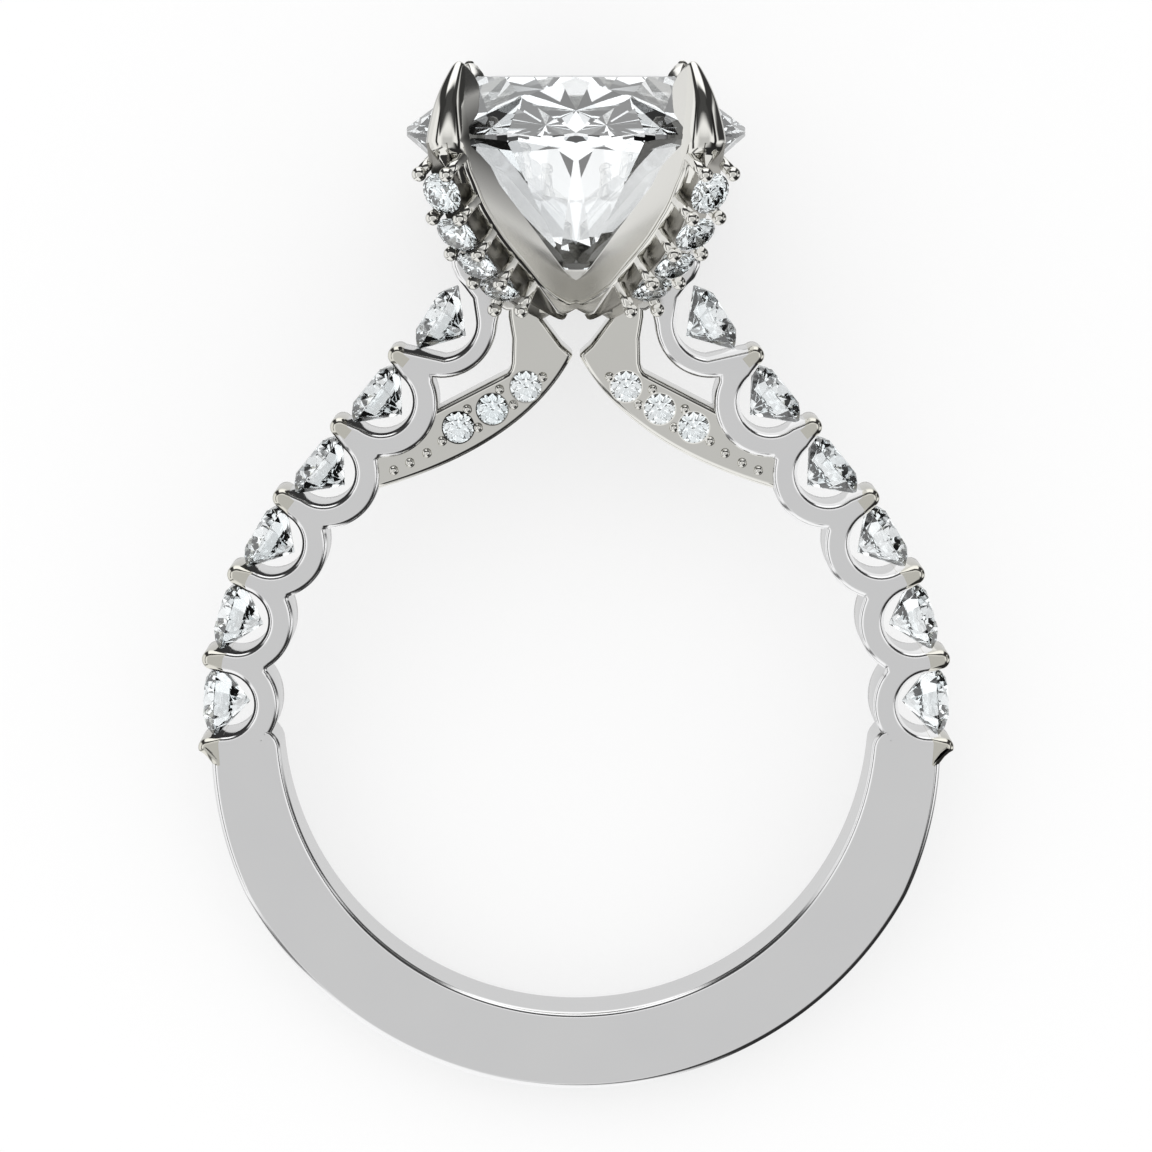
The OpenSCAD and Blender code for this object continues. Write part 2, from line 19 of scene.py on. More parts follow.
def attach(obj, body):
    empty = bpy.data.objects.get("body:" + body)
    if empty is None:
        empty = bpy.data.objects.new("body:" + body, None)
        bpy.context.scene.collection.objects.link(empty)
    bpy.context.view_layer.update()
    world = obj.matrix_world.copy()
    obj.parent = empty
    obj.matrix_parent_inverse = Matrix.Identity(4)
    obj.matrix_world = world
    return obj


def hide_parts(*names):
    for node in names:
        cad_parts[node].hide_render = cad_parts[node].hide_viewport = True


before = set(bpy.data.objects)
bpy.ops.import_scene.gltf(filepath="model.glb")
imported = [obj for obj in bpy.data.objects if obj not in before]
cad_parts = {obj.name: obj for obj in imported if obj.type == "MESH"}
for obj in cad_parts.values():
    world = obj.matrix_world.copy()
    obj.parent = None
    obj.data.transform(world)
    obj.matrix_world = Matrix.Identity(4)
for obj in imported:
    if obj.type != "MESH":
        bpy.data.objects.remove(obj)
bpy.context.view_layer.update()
LOG = logging.getLogger("ring")
MM = 1000.0

Point = tuple[float, float]
Row = tuple[float, float, float]
Ring = list[Vector]


class Hand(Enum):
    """Side of the ring, as the sign of its X."""

    LEFT = -1
    RIGHT = 1


class Face(Enum):
    """Face of the band, as the sign of its Y."""

    FRONT = -1
    BACK = 1


class Slot(Enum):
    """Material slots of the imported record."""

    METAL = "white_gold"
    STONE = "clear_stone"


def linear(code: str) -> tuple[float, float, float, float]:
    """Turns an sRGB hex code into linear colour.

    Args:
        code: Six hex digits with a leading hash.

    Returns:
        Red, green, blue and an alpha of one.
    """
    values = [int(code[i : i + 2], 16) / 255 for i in (1, 3, 5)]
    curved = [v / 12.92 if v <= 0.04045 else ((v + 0.055) / 1.055) ** 2.4 for v in values]
    return (curved[0], curved[1], curved[2], 1.0)


def add_node(
    tree: bpy.types.NodeTree, kind: str, inputs: dict[str | int, object] | None = None, **settings: object
) -> bpy.types.Node:
    """Adds a node, sets its properties and fills its inputs.

    Args:
        tree: The node tree to add to.
        kind: Blender's name of the node type.
        inputs: What goes into each input, by name or number: a socket, a list of sockets or a plain value.
        settings: Properties of the node, by name.

    Returns:
        The new node.
    """
    node = tree.nodes.new(kind)
    for name, value in settings.items():
        setattr(node, name, value)
    for name, value in (inputs or {}).items():
        sources = value if isinstance(value, list) else [value]
        if isinstance(sources[0], bpy.types.NodeSocket):
            for source in sources:
                tree.links.new(source, node.inputs[name])
        else:
            node.inputs[name].default_value = value
    return node


def calculate(tree: bpy.types.NodeTree, operation: str, *values: object) -> bpy.types.NodeSocket:
    """Adds a math node on sockets or plain values and hands out its result."""
    return add_node(tree, "ShaderNodeMath", dict(enumerate(values)), operation=operation).outputs[0]


def bare_material(name: str) -> tuple[bpy.types.Material, bpy.types.NodeTree]:
    """A new material and its empty tree."""
    material = bpy.data.materials.new(name)
    material.use_nodes = True
    material.node_tree.nodes.clear()
    return material, material.node_tree


def add_object(name: str, data: bpy.types.ID) -> bpy.types.Object:
    """Puts a mesh, a camera or a light into the scene."""
    made = bpy.data.objects.new(name, data)
    bpy.context.scene.collection.objects.link(made)
    return made


@dataclass(frozen=True)
class RingFrame:
    """How the upright ring lies in the row frame: the values of part.scad's lean, rest height and shift."""

    lean: float = math.radians(11.7927)
    rest: float = 3.1842
    shift: float = 4.42363

    def matrix(self) -> Matrix:
        """Millimetres of the upright ring to metres of the row frame."""
        move = Matrix.Translation((0.0, -self.shift, self.rest))
        return Matrix.Scale(1 / MM, 4) @ move @ Matrix.Rotation(self.lean - math.pi / 2, 4, "X")

    def direction(self, vector: Vector) -> Vector:
        """A direction of the upright ring in the row frame."""
        return (Matrix.Rotation(self.lean - math.pi / 2, 3, "X") @ vector).normalized()


PLACE = RingFrame()


@dataclass(frozen=True)
class MetalFinish:
    """A polished metal: its tint, its gloss, and the faint haze and marks that a polishing wheel leaves."""

    name: str
    tint: str
    haze_tint: str
    roughness: float
    haze_rise: float = 0.03
    haze_size: float = 2.5
    mark_size: float = 0.12
    mark_stretch: float = 0.15
    mark_depth: float = 0.0004

    def build(self) -> bpy.types.Material:
        """Makes the material.

        Returns:
            A metal that mirrors the studio through a thin, uneven haze.
        """
        material, tree = bare_material(self.name)
        where = add_node(tree, "ShaderNodeTexCoord").outputs["Object"]
        # Clouds a few millimetres wide, where the wheel pressed more or less: they tint the metal and blur it
        haze = add_node(tree, "ShaderNodeTexNoise", {
            "Vector": where, "Scale": MM / self.haze_size, "Detail": 2.0
        }).outputs["Fac"]
        tint = add_node(tree, "ShaderNodeMix", data_type="RGBA", inputs={
            "Factor": haze, "A": linear(self.tint), "B": linear(self.haze_tint)
        })
        blur = add_node(tree, "ShaderNodeMapRange", {
            "Value": haze, "To Min": self.roughness, "To Max": self.roughness + self.haze_rise
        })
        # Hair-fine marks drawn out along the band, which soften the streaks that the metal mirrors
        draw = add_node(tree, "ShaderNodeMapping", {"Vector": where, "Scale": (1.0, self.mark_stretch, 1.0)})
        marks = add_node(tree, "ShaderNodeTexNoise", {
            "Vector": draw.outputs["Vector"], "Scale": MM / self.mark_size, "Detail": 1.0
        })
        bump = add_node(tree, "ShaderNodeBump", {
            "Height": marks.outputs["Fac"], "Distance": self.mark_depth / MM
        })
        shader = add_node(tree, "ShaderNodeBsdfPrincipled", {
            "Base Color": tint.outputs["Result"], "Metallic": 1.0, "Roughness": blur.outputs["Result"],
            "Normal": bump.outputs["Normal"]
        })
        add_node(tree, "ShaderNodeOutputMaterial", {"Surface": shader.outputs["BSDF"]})
        return material


@dataclass(frozen=True)
class StoneFinish:
    """A clear cut stone that bends light as hard as a diamond does."""

    name: str
    tint: str
    cool_tint: str
    index: float
    cloud_size: float
    last_bounce: float = 8.0
    # inner_glow is the colour of the painted glow for light that has turned round deep inside
    inner_glow: str = "#C4C8CA"
    # dark_side, light_side and shade_range set the painted shade of that painted reflection along the stone's X
    dark_side: float = -2.9
    light_side: float = 0.4
    shade_range: Point = (0.04, 1.0)

    def build(self) -> bpy.types.Material:
        """Makes the material.

        Returns:
            A glass whose high index turns most light back inside, which gives the black and white facets.
        """
        material, tree = bare_material(self.name)
        where = add_node(tree, "ShaderNodeTexCoord").outputs["Object"]
        path = add_node(tree, "ShaderNodeLightPath").outputs
        # A cool cast that drifts over the facets, as daylight splits in a real stone
        cloud = add_node(tree, "ShaderNodeTexNoise", {
            "Vector": where, "Scale": MM / self.cloud_size, "Detail": 0.0
        })
        cast = add_node(tree, "ShaderNodeMix", data_type="RGBA", inputs={
            "Factor": cloud.outputs["Fac"], "A": linear(self.tint), "B": linear(self.cool_tint)
        })
        glass = add_node(tree, "ShaderNodeBsdfGlass", {
            "Color": cast.outputs["Result"], "Roughness": 0.0, "IOR": self.index
        })
        # Painted glow: light that has turned round many times inside is replaced by an even pale grey emission
        glow = add_node(tree, "ShaderNodeEmission", {"Color": linear(self.inner_glow)})
        deep = calculate(tree, "GREATER_THAN", path["Ray Depth"], self.last_bounce)
        inside = self.layer(tree, deep, glass.outputs["BSDF"], glow.outputs["Emission"])
        # Painted reflection: where polished metal mirrors a stone, the stone shows a flat emission, painted
        # darker towards its left as shade from the studio's shadow side
        shade = add_node(tree, "ShaderNodeMapRange", {
            "Value": add_node(tree, "ShaderNodeSeparateXYZ", {0: where}).outputs["X"],
            "From Min": self.dark_side / MM, "From Max": self.light_side / MM,
            "To Min": self.shade_range[0], "To Max": self.shade_range[1]
        })
        painted_reflection = add_node(tree, "ShaderNodeEmission", {"Strength": shade.outputs["Result"]})
        mirror = calculate(tree, "GREATER_THAN", path["Glossy Depth"], 0.5)
        outside = calculate(tree, "LESS_THAN", path["Transmission Depth"], 0.5)
        seen = calculate(tree, "MULTIPLY", mirror, outside)
        whole = self.layer(tree, seen, inside, painted_reflection.outputs["Emission"])
        add_node(tree, "ShaderNodeOutputMaterial", {"Surface": whole})
        return material

    @staticmethod
    def layer(
        tree: bpy.types.NodeTree, mask: bpy.types.NodeSocket,
        under: bpy.types.NodeSocket, over: bpy.types.NodeSocket
    ) -> bpy.types.NodeSocket:
        """One shader over another where the mask is one."""
        return add_node(tree, "ShaderNodeMixShader", {0: mask, 1: under, 2: over}).outputs["Shader"]


class Palette:
    """Builds each finish once and hands it out by name.

    Polished white gold looks bright and cool on the flat band, brighter still on the rounded claws, satin on
    the blades, warm on the post tips, and rougher with painted shade in the recess behind the small stones. The
    cut stones sparkle.
    """

    FINISHES = (
        MetalFinish("band_metal", "#EAEAEA", "#E5E5E6", 0.12),
        MetalFinish("bright_metal", "#DFDED9", "#DAD9D4", 0.04),
        MetalFinish("blade_metal", "#DFDEDA", "#DAD9D5", 0.2),
        MetalFinish("tip_metal", "#D6D4CB", "#D1CFC6", 0.09),
        # Darker tint here is painted shade for the recess behind the small stones; the higher roughness is real
        MetalFinish("recess_metal", "#B4B2AD", "#9F9D98", 0.3),
        StoneFinish("clear_stone", "#FFFFFF", "#FCFEFF", 2.42, 4.0),
        StoneFinish("small_stone", "#FFFFFF", "#FBFEFF", 2.42, 0.8),
    )

    def __init__(self) -> None:
        """Builds all finishes."""
        self.made = {finish.name: finish.build() for finish in self.FINISHES}

    def get(self, name: str) -> bpy.types.Material:
        """The material of that name."""
        return self.made[name]


def arc(centre: Point, radius: float, start: float, end: float, steps: int) -> list[Point]:
    """Points along a circular arc.

    Args:
        centre: Middle of the circle.
        radius: Its radius.
        start: First angle in degrees.
        end: Last angle in degrees.
        steps: Number of chords.

    Returns:
        The points, both ends included.
    """
    angles = [math.radians(start + (end - start) * i / steps) for i in range(steps + 1)]
    return [(centre[0] + radius * math.cos(a), centre[1] + radius * math.sin(a)) for a in angles]


def smooth_line(points: list[Point], steps: int) -> list[Point]:
    """A smooth curve through the points.

    Args:
        points: The points to pass through, in order.
        steps: Number of pieces between each two of them.

    Returns:
        The curve's points, both ends included.
    """
    padded = [points[0], *points, points[-1]]
    out: list[Point] = []
    for i in range(1, len(padded) - 2):
        a, b, c, d = padded[i - 1 : i + 3]
        for k in range(steps):
            t = k / steps
            out.append(tuple(
                b[j] + 0.5 * ((c[j] - a[j]) * t + (2 * a[j] - 5 * b[j] + 4 * c[j] - d[j]) * t * t
                              + (3 * b[j] - a[j] - 3 * c[j] + d[j]) * t**3)
                for j in (0, 1)
            ))
    out.append(points[-1])
    return out


def blend_value(table: tuple[Point, ...], at: float) -> float:
    """Reads a value from a short table with straight lines between its entries.

    Args:
        table: Pairs of place and value, places rising.
        at: The place to read.

    Returns:
        The value there, held flat beyond both ends.
    """
    if at <= table[0][0]:
        return table[0][1]
    for (x0, y0), (x1, y1) in zip(table, table[1:]):
        if at <= x1:
            return y0 + (y1 - y0) * (at - x0) / (x1 - x0)
    return table[-1][1]


def area(outline: list[Point]) -> float:
    """Signed area of a closed outline."""
    following = [*outline[1:], outline[0]]
    return 0.5 * sum(a[0] * b[1] - b[0] * a[1] for a, b in zip(outline, following))


class Solid:
    """Collects closed shells and turns them into one finished object."""

    def __init__(self, name: str) -> None:
        """Starts an empty solid of that name."""
        self.name = name
        self.mesh = bmesh.new()
        self.materials: list[bpy.types.Material] = []

    def material_index(self, material: bpy.types.Material) -> int:
        """The index of a material in this solid, added when it is new."""
        if material not in self.materials:
            self.materials.append(material)
        return self.materials.index(material)

    def shell(self, rings: list[Ring], material: bpy.types.Material) -> None:
        """Adds a closed shell that runs through rings of points.

        Args:
            rings: Rings of equal length, the first and last closed by a flat face.
            material: Its finish.
        """
        made = [[self.mesh.verts.new(p) for p in ring] for ring in rings]
        faces = []
        count = len(made[0])
        for low, high in zip(made, made[1:]):
            for i in range(count):
                j = (i + 1) % count
                faces.append(self.mesh.faces.new((low[i], low[j], high[j], high[i])))
        faces.append(self.mesh.faces.new(made[0][::-1]))
        faces.append(self.mesh.faces.new(made[-1]))
        index = self.material_index(material)
        for face in faces:
            face.material_index = index
            face.smooth = True
        bmesh.ops.recalc_face_normals(self.mesh, faces=faces)

    def facets(self, points: list[Vector], faces: list[list[int]], material: bpy.types.Material) -> None:
        """Adds a closed shell of flat facets.

        Args:
            points: Its corners.
            faces: Corner indices of each facet.
            material: Its finish.
        """
        corners = [self.mesh.verts.new(p) for p in points]
        made = [self.mesh.faces.new([corners[i] for i in face]) for face in faces]
        index = self.material_index(material)
        for face in made:
            face.material_index = index
        bmesh.ops.recalc_face_normals(self.mesh, faces=made)

    def sharpen(self, degrees: float) -> None:
        """Keeps edges crisp where two faces meet at more than this angle."""
        limit = math.radians(degrees)
        for edge in self.mesh.edges:
            if len(edge.link_faces) == 2 and edge.calc_face_angle(0.0) > limit:
                edge.smooth = False

    def finish(self, slot: Slot) -> bpy.types.Object:
        """Writes the mesh, carries it into the row frame and ties it to the body.

        Args:
            slot: The record's material slot; not used.

        Returns:
            The finished object.
        """
        data = bpy.data.meshes.new(self.name)
        self.mesh.to_mesh(data)
        self.mesh.free()
        data.transform(PLACE.matrix())
        for material in self.materials:
            data.materials.append(material)
        made = add_object(self.name, data)
        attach(made, "root")
        LOG.info("%s: %d faces", self.name, len(data.polygons))
        return made


CORNER_STRETCH = 0.5
FACE_INSET = 1.15
MOVE_SHARE = 0.9


def corner_moves(outline: list[Point]) -> list[Vector]:
    """Inward move of every corner of a counter-clockwise outline that shifts its sides by one.

    Args:
        outline: The closed outline.

    Returns:
        One move for each corner.
    """
    moves = []
    count = len(outline)
    for i in range(count):
        here = Vector(outline[i])
        before = (here - Vector(outline[i - 1])).normalized()
        after = (Vector(outline[(i + 1) % count]) - here).normalized()
        middle = before + after
        if middle.length < 1e-6:
            middle = after
        middle.normalize()
        moves.append(Vector((-middle.y, middle.x)) / max(CORNER_STRETCH, middle.dot(after)))
    return moves


def line_gap(outline: list[Point], x: float, y: float) -> float:
    """Distance from a point to the nearest side of an outline.

    Args:
        outline: The closed outline.
        x: The point's first coordinate.
        y: Its second coordinate.

    Returns:
        The distance.
    """
    best = math.inf
    ax, ay = outline[-1]
    for bx, by in outline:
        dx, dy = bx - ax, by - ay
        share = ((x - ax) * dx + (y - ay) * dy) / max(dx * dx + dy * dy, 1e-12)
        share = min(1.0, max(0.0, share))
        ex, ey = x - ax - share * dx, y - ay - share * dy
        best = min(best, ex * ex + ey * ey)
        ax, ay = bx, by
    return math.sqrt(best)


def move_limits(outline: list[Point], moves: list[Vector], depth: float, steps: int = 12) -> list[float]:
    """How far each corner can move inwards before it meets the moved far side of the outline.

    Args:
        outline: The closed outline.
        moves: The move of each corner.
        depth: The greatest move wanted.
        steps: Number of tries.

    Returns:
        One limit for each corner.
    """
    limits = []
    for (x, y), move in zip(outline, moves):
        limit = 0.0
        for k in range(1, steps + 1):
            far = depth * k / steps
            if line_gap(outline, x + move.x * far, y + move.y * far) < far * MOVE_SHARE:
                break
            limit = far
        limits.append(limit)
    return limits


def plate_rings(outline: list[Point], half: float, edge: float, steps: int = 6) -> list[Ring]:
    """Rings of a flat plate with rounded edges, its outline in X and Z.

    Args:
        outline: The closed outline.
        half: Half its thickness, along Y.
        edge: Radius of the edges.
        steps: Number of pieces in each rounded edge.

    Returns:
        The rings from the front face to the back face.
    """
    if area(outline) < 0:
        outline = outline[::-1]
    moves = corner_moves(outline)
    limits = move_limits(outline, moves, edge * FACE_INSET)
    depths = [edge * (1 - math.cos(math.pi / 2 * i / steps)) for i in range(steps + 1)]
    depths.append(edge * FACE_INSET)
    rings = []
    for side, run in ((-1, reversed(depths)), (1, depths)):
        for depth in run:
            ring = []
            for (x, z), move, limit in zip(outline, moves, limits):
                moved = min(depth, limit)
                rounded = max(0.0, edge - moved)
                y = half - edge + math.sqrt(edge * edge - rounded * rounded)
                ring.append(Vector((x + move.x * moved, side * y, z + move.y * moved)))
            rings.append(ring)
    return rings


def mirrored(rings: list[Ring], hand: Hand) -> list[Ring]:
    """The rings on that side of the ring."""
    return [[Vector((p.x * hand.value, p.y, p.z)) for p in ring] for ring in rings]


def offset(centre: Vector, degrees: float, along: float, height: float) -> Vector:
    """The point that lies a height off a centre in a direction, and then along, a quarter turn on from it."""
    a = math.radians(degrees)
    outward = Vector((math.cos(a), math.sin(a)))
    forward = Vector((-math.sin(a), math.cos(a)))
    return centre + forward * along + outward * height


@dataclass
class ShoulderLine:
    """The line that the posts' tips follow: an arc round the finger, then straight on to the head."""

    finger_diameter: float = 17.3
    stone_size: float = 2.2
    scallop_floor: float = 0.75
    cup_share: float = 0.418
    cup_drop_share: float = 0.7065
    start: float = -2.3
    lift: float = 39.2
    last_x: float = 3.87
    last_drop: float = 0.573
    last_tilt: float = 32.5
    last_extra: float = 0.2
    last_cup_share: float = 1.09
    cells: int = 6
    bump: float = 1.6
    post_half: float = 0.28
    tip_rise: float = 0.08

    @property
    def inner(self) -> float:
        """Radius of the finger hole."""
        return self.finger_diameter / 2

    @property
    def cup(self) -> float:
        """Radius of the cups between the posts."""
        return self.stone_size * self.cup_share

    @property
    def cup_drop(self) -> float:
        """Depth of the cups' middles under the line."""
        return self.cup * self.cup_drop_share

    @property
    def radius(self) -> float:
        """Radius of the line's curved part."""
        return self.inner + self.scallop_floor + self.cup + self.cup_drop

    @property
    def last_run(self) -> float:
        """Run of the cell next to the head, whose middle stands at a set X."""
        lift = math.radians(self.lift)
        return self.arc_run + ((self.radius - self.last_drop) * math.cos(lift) - self.last_x) / math.sin(lift)

    @property
    def pitch(self) -> float:
        """Run from one post to the next."""
        return (self.last_run - self.last_extra + self.post_half) / (self.cells - 0.5)

    @property
    def arc_run(self) -> float:
        """Length of the curved part."""
        return self.radius * math.radians(self.lift - self.start)

    @property
    def bump_drop(self) -> float:
        """Depth of the bumps' middles, which lets each touch the finger circle."""
        return self.radius - self.inner - self.bump

    def angle(self, run: float) -> float:
        """Direction of the outward normal in degrees."""
        if run < self.arc_run:
            return self.start + math.degrees(run / self.radius)
        return self.lift

    def point(self, run: float, height: float) -> Vector:
        """The point at a run along the line and a height off it."""
        past = max(0.0, run - self.arc_run)
        return offset(Vector((0.0, 0.0)), self.angle(run), past, self.radius + height)

    def cell_run(self, cell: int) -> float:
        """Run of a cell's middle: cell 1 is next to the head."""
        return self.last_run if cell == 1 else (self.cells + 0.5 - cell) * self.pitch - self.post_half

    def cell_tilt(self, cell: int) -> float:
        """Direction of a cell's stone in degrees."""
        return self.last_tilt if cell == 1 else self.angle(self.cell_run(cell))

    def cell_point(self, cell: int, along: float, height: float) -> Vector:
        """A point of a cell, along the line from its middle and off the line."""
        base = -self.last_drop if cell == 1 else -self.cup_drop
        centre = self.point(self.cell_run(cell), base)
        return offset(centre, self.cell_tilt(cell), along, height - base)

    def post_point(self, post: int, along: float, height: float) -> Vector:
        """A point of a post, along the line from its middle and off the line."""
        run = (self.cells - post) * self.pitch - self.post_half
        return offset(self.point(run, 0.0), self.angle(run), along, height)


LINE = ShoulderLine()
ARM_ANGLE = 33
HEAD_RISE = 0.34
HEAD_Z = LINE.point(LINE.last_run, -LINE.last_drop).y + HEAD_RISE


@dataclass
class Shank:
    """The plain half round of the band, its wall thinner near the shoulders."""

    inner: float = LINE.inner
    thickness: float = 2.32
    half: float = 1.0
    outer_edge: float = 0.2
    inner_edge: float = 0.19
    end_angle: float = 1.0
    outer_end: float = 3.0
    end_wall: float = 0.68
    end_lift: float = 0.3
    lift_run: float = 3.5
    trim_drop: float = 0.749
    trim_depth: float = 0.33
    steps: int = 180

    @property
    def outer(self) -> float:
        """Outer radius of the band."""
        return self.inner + self.thickness

    def wall(self, angle: float) -> float:
        """Outer radius at an angle in degrees, counted from the right."""
        if min(-angle, 180 + angle) < self.outer_end:
            return self.inner + self.end_wall
        s = math.sin(math.radians(angle)) * self.trim_drop
        trim_radius = self.outer - self.trim_depth
        return min(self.outer, -s + math.sqrt(s * s + trim_radius**2 - self.trim_drop**2))

    def bore(self, angle: float) -> float:
        """Inner radius at an angle: it lifts away at both ends, where the first scallop takes over."""
        left = min(-angle, 180 + angle) - self.end_angle
        return self.inner + self.end_lift * max(0.0, 1.0 - left / self.lift_run) ** 2

    def section(self, inner: float, outer: float) -> list[Point]:
        """Rounded section of the band, radius against width."""
        e, i, h = self.outer_edge, self.inner_edge, self.half
        return [
            *arc((inner + i, -h + i), i, 180, 270, 8),
            (inner + i * 1.4, -h),
            (outer - e * 1.25, -h),
            *arc((outer - e, -h + e), e, 270, 360, 8),
            (outer, -h + e * 1.25),
            (outer, h - e * 1.25),
            *arc((outer - e, h - e), e, 0, 90, 8),
            (outer - e * 1.25, h),
            (inner + i * 1.4, h),
            *arc((inner + i, h - i), i, 90, 180, 8),
            (inner, h - i * 1.4),
            (inner, -h + i * 1.4),
        ]

    def build(self, palette: Palette) -> bpy.types.Object:
        """Builds and dresses the shank.

        Args:
            palette: The finishes.

        Returns:
            The finished object.
        """
        solid = Solid("shank")
        rings = []
        for k in range(self.steps + 1):
            angle = -180 + self.end_angle + (180 - 2 * self.end_angle) * k / self.steps
            a = math.radians(angle)
            section = self.section(self.bore(angle), self.wall(angle))
            rings.append([Vector((r * math.cos(a), y, r * math.sin(a))) for r, y in section])
        solid.shell(rings, palette.get("band_metal"))
        return solid.finish(Slot.METAL)


@dataclass
class Shoulder:
    """One scalloped shoulder: a strip of bumps and cups with posts between its stones."""

    hand: Hand
    half: float = 1.003
    edge: float = 0.2
    tip_proud: float = 0.006
    tip_depth: float = 0.68
    tip_spread: float = 0.05
    bump_clearance: float = 0.015
    last_bump_end: float = 128
    beak: tuple[Point, ...] = (
        (-1.6, -0.47), (-1.15, -0.42), (-0.73, -0.37), (-0.47, -0.29), (-0.27, -0.16), (-0.14, -0.03)
    )
    beak_reach: float = 0.62

    def outer_line(self) -> list[Point]:
        """The posts and cups from the shank to the head."""
        line = LINE
        out = [tuple(line.post_point(line.cells, a, n)) for a, n in self.beak]
        for post in range(line.cells, 0, -1):
            tip = line.tip_rise - line.post_half
            first = 105 if post == line.cells else 180
            for degree in range(first, -1, -15):
                a = math.radians(degree)
                out.append(tuple(line.post_point(
                    post, line.post_half * math.cos(a), tip + line.post_half * math.sin(a))))
            out.extend(self.cup_line(post))
        return out

    def cup_line(self, cell: int) -> list[Point]:
        """The cup of one cell, from its shank side to its head side."""
        line = LINE
        if cell == 1:
            radius = line.cup * line.last_cup_share
            drop = -line.last_drop
            degrees = range(38, 123, 6)
        else:
            radius = line.cup
            drop = -line.cup_drop
            degrees = range(0, 181, 6)
        points = []
        for degree in degrees:
            a = math.radians(degree)
            points.append(tuple(line.cell_point(cell, -radius * math.cos(a), drop - radius * math.sin(a))))
        return points

    def head_line(self) -> list[Point]:
        """The wall between the last stone and the base, up its outer side and down its inner side."""
        raised = [
            (2.88, -0.2), (2.96, 0.35), (3.2, 0.68), (3.42, 0.95), (3.55, 1.25), (3.57, 1.42), (3.48, 1.57),
            (3.32, 1.63), (3.1, 1.58), (2.9, 1.48), (2.55, 1.28), (2.3, 1.05), (2.2, 0.6), (2.18, 0.2),
            (2.2, -0.1)
        ]
        return [(x, HEAD_Z + z) for x, z in raised]

    def inner_line(self) -> list[Point]:
        """The bumps from the head back to the shank."""
        line = LINE
        centres = [Vector(line.cell_point(1, 0.0, -line.last_drop))]
        centres += [Vector(line.point(line.cell_run(c), -line.bump_drop)) for c in range(2, line.cells + 1)]
        out: list[Point] = []
        for index, centre in enumerate(centres):
            for degree in range(60 if index == 0 else 8, 173, 4):
                a = math.radians(degree)
                tilt = line.cell_tilt(index + 1)
                p = offset(centre, tilt, line.bump * math.cos(a), -line.bump * math.sin(a))
                others = [c for k, c in enumerate(centres) if k != index]
                inside = any((p - c).length < line.bump + self.bump_clearance for c in others)
                if not inside and not (index == line.cells - 1 and degree > self.last_bump_end):
                    out.append(tuple(p))
        out.append(tuple(line.post_point(line.cells, -0.35, -2.25)))
        out.append(tuple(line.post_point(line.cells, -1.6, -2.2)))
        return out

    def outline(self) -> list[Point]:
        """The whole closed outline."""
        return [*self.outer_line(), *self.head_line(), *self.inner_line()]

    def tip_outline(self, post: int) -> list[Point]:
        """Outline of the darker end of one post, a hair proud of the strip."""
        line = LINE
        half = line.post_half + self.tip_proud
        tip = line.tip_rise - line.post_half
        low = -self.tip_depth
        points = [(half + self.tip_spread, low)]
        points += [(half * math.cos(math.radians(d)), tip + half * math.sin(math.radians(d)))
                   for d in range(0, 181, 15)]
        if post == line.cells:
            raised = [(a, n + self.tip_proud) for a, n in self.beak[:-5:-1]]
            points[-5:] = [*raised, (-self.beak_reach, low)]
        else:
            points.append((-half - self.tip_spread, low))
        return [tuple(line.post_point(post, a, n)) for a, n in points]

    def build(self, palette: Palette) -> bpy.types.Object:
        """Builds and dresses the shoulder.

        Args:
            palette: The finishes.

        Returns:
            The finished object.
        """
        solid = Solid(f"shoulder_{self.hand.name.lower()}")
        strip = plate_rings(self.outline(), self.half, self.edge)
        solid.shell(mirrored(strip, self.hand), palette.get("band_metal"))
        for post in range(1, LINE.cells + 1):
            cap = plate_rings(self.tip_outline(post), self.half + self.tip_proud, self.edge)
            solid.shell(mirrored(cap, self.hand), palette.get("tip_metal"))
        solid.sharpen(50)
        return solid.finish(Slot.METAL)


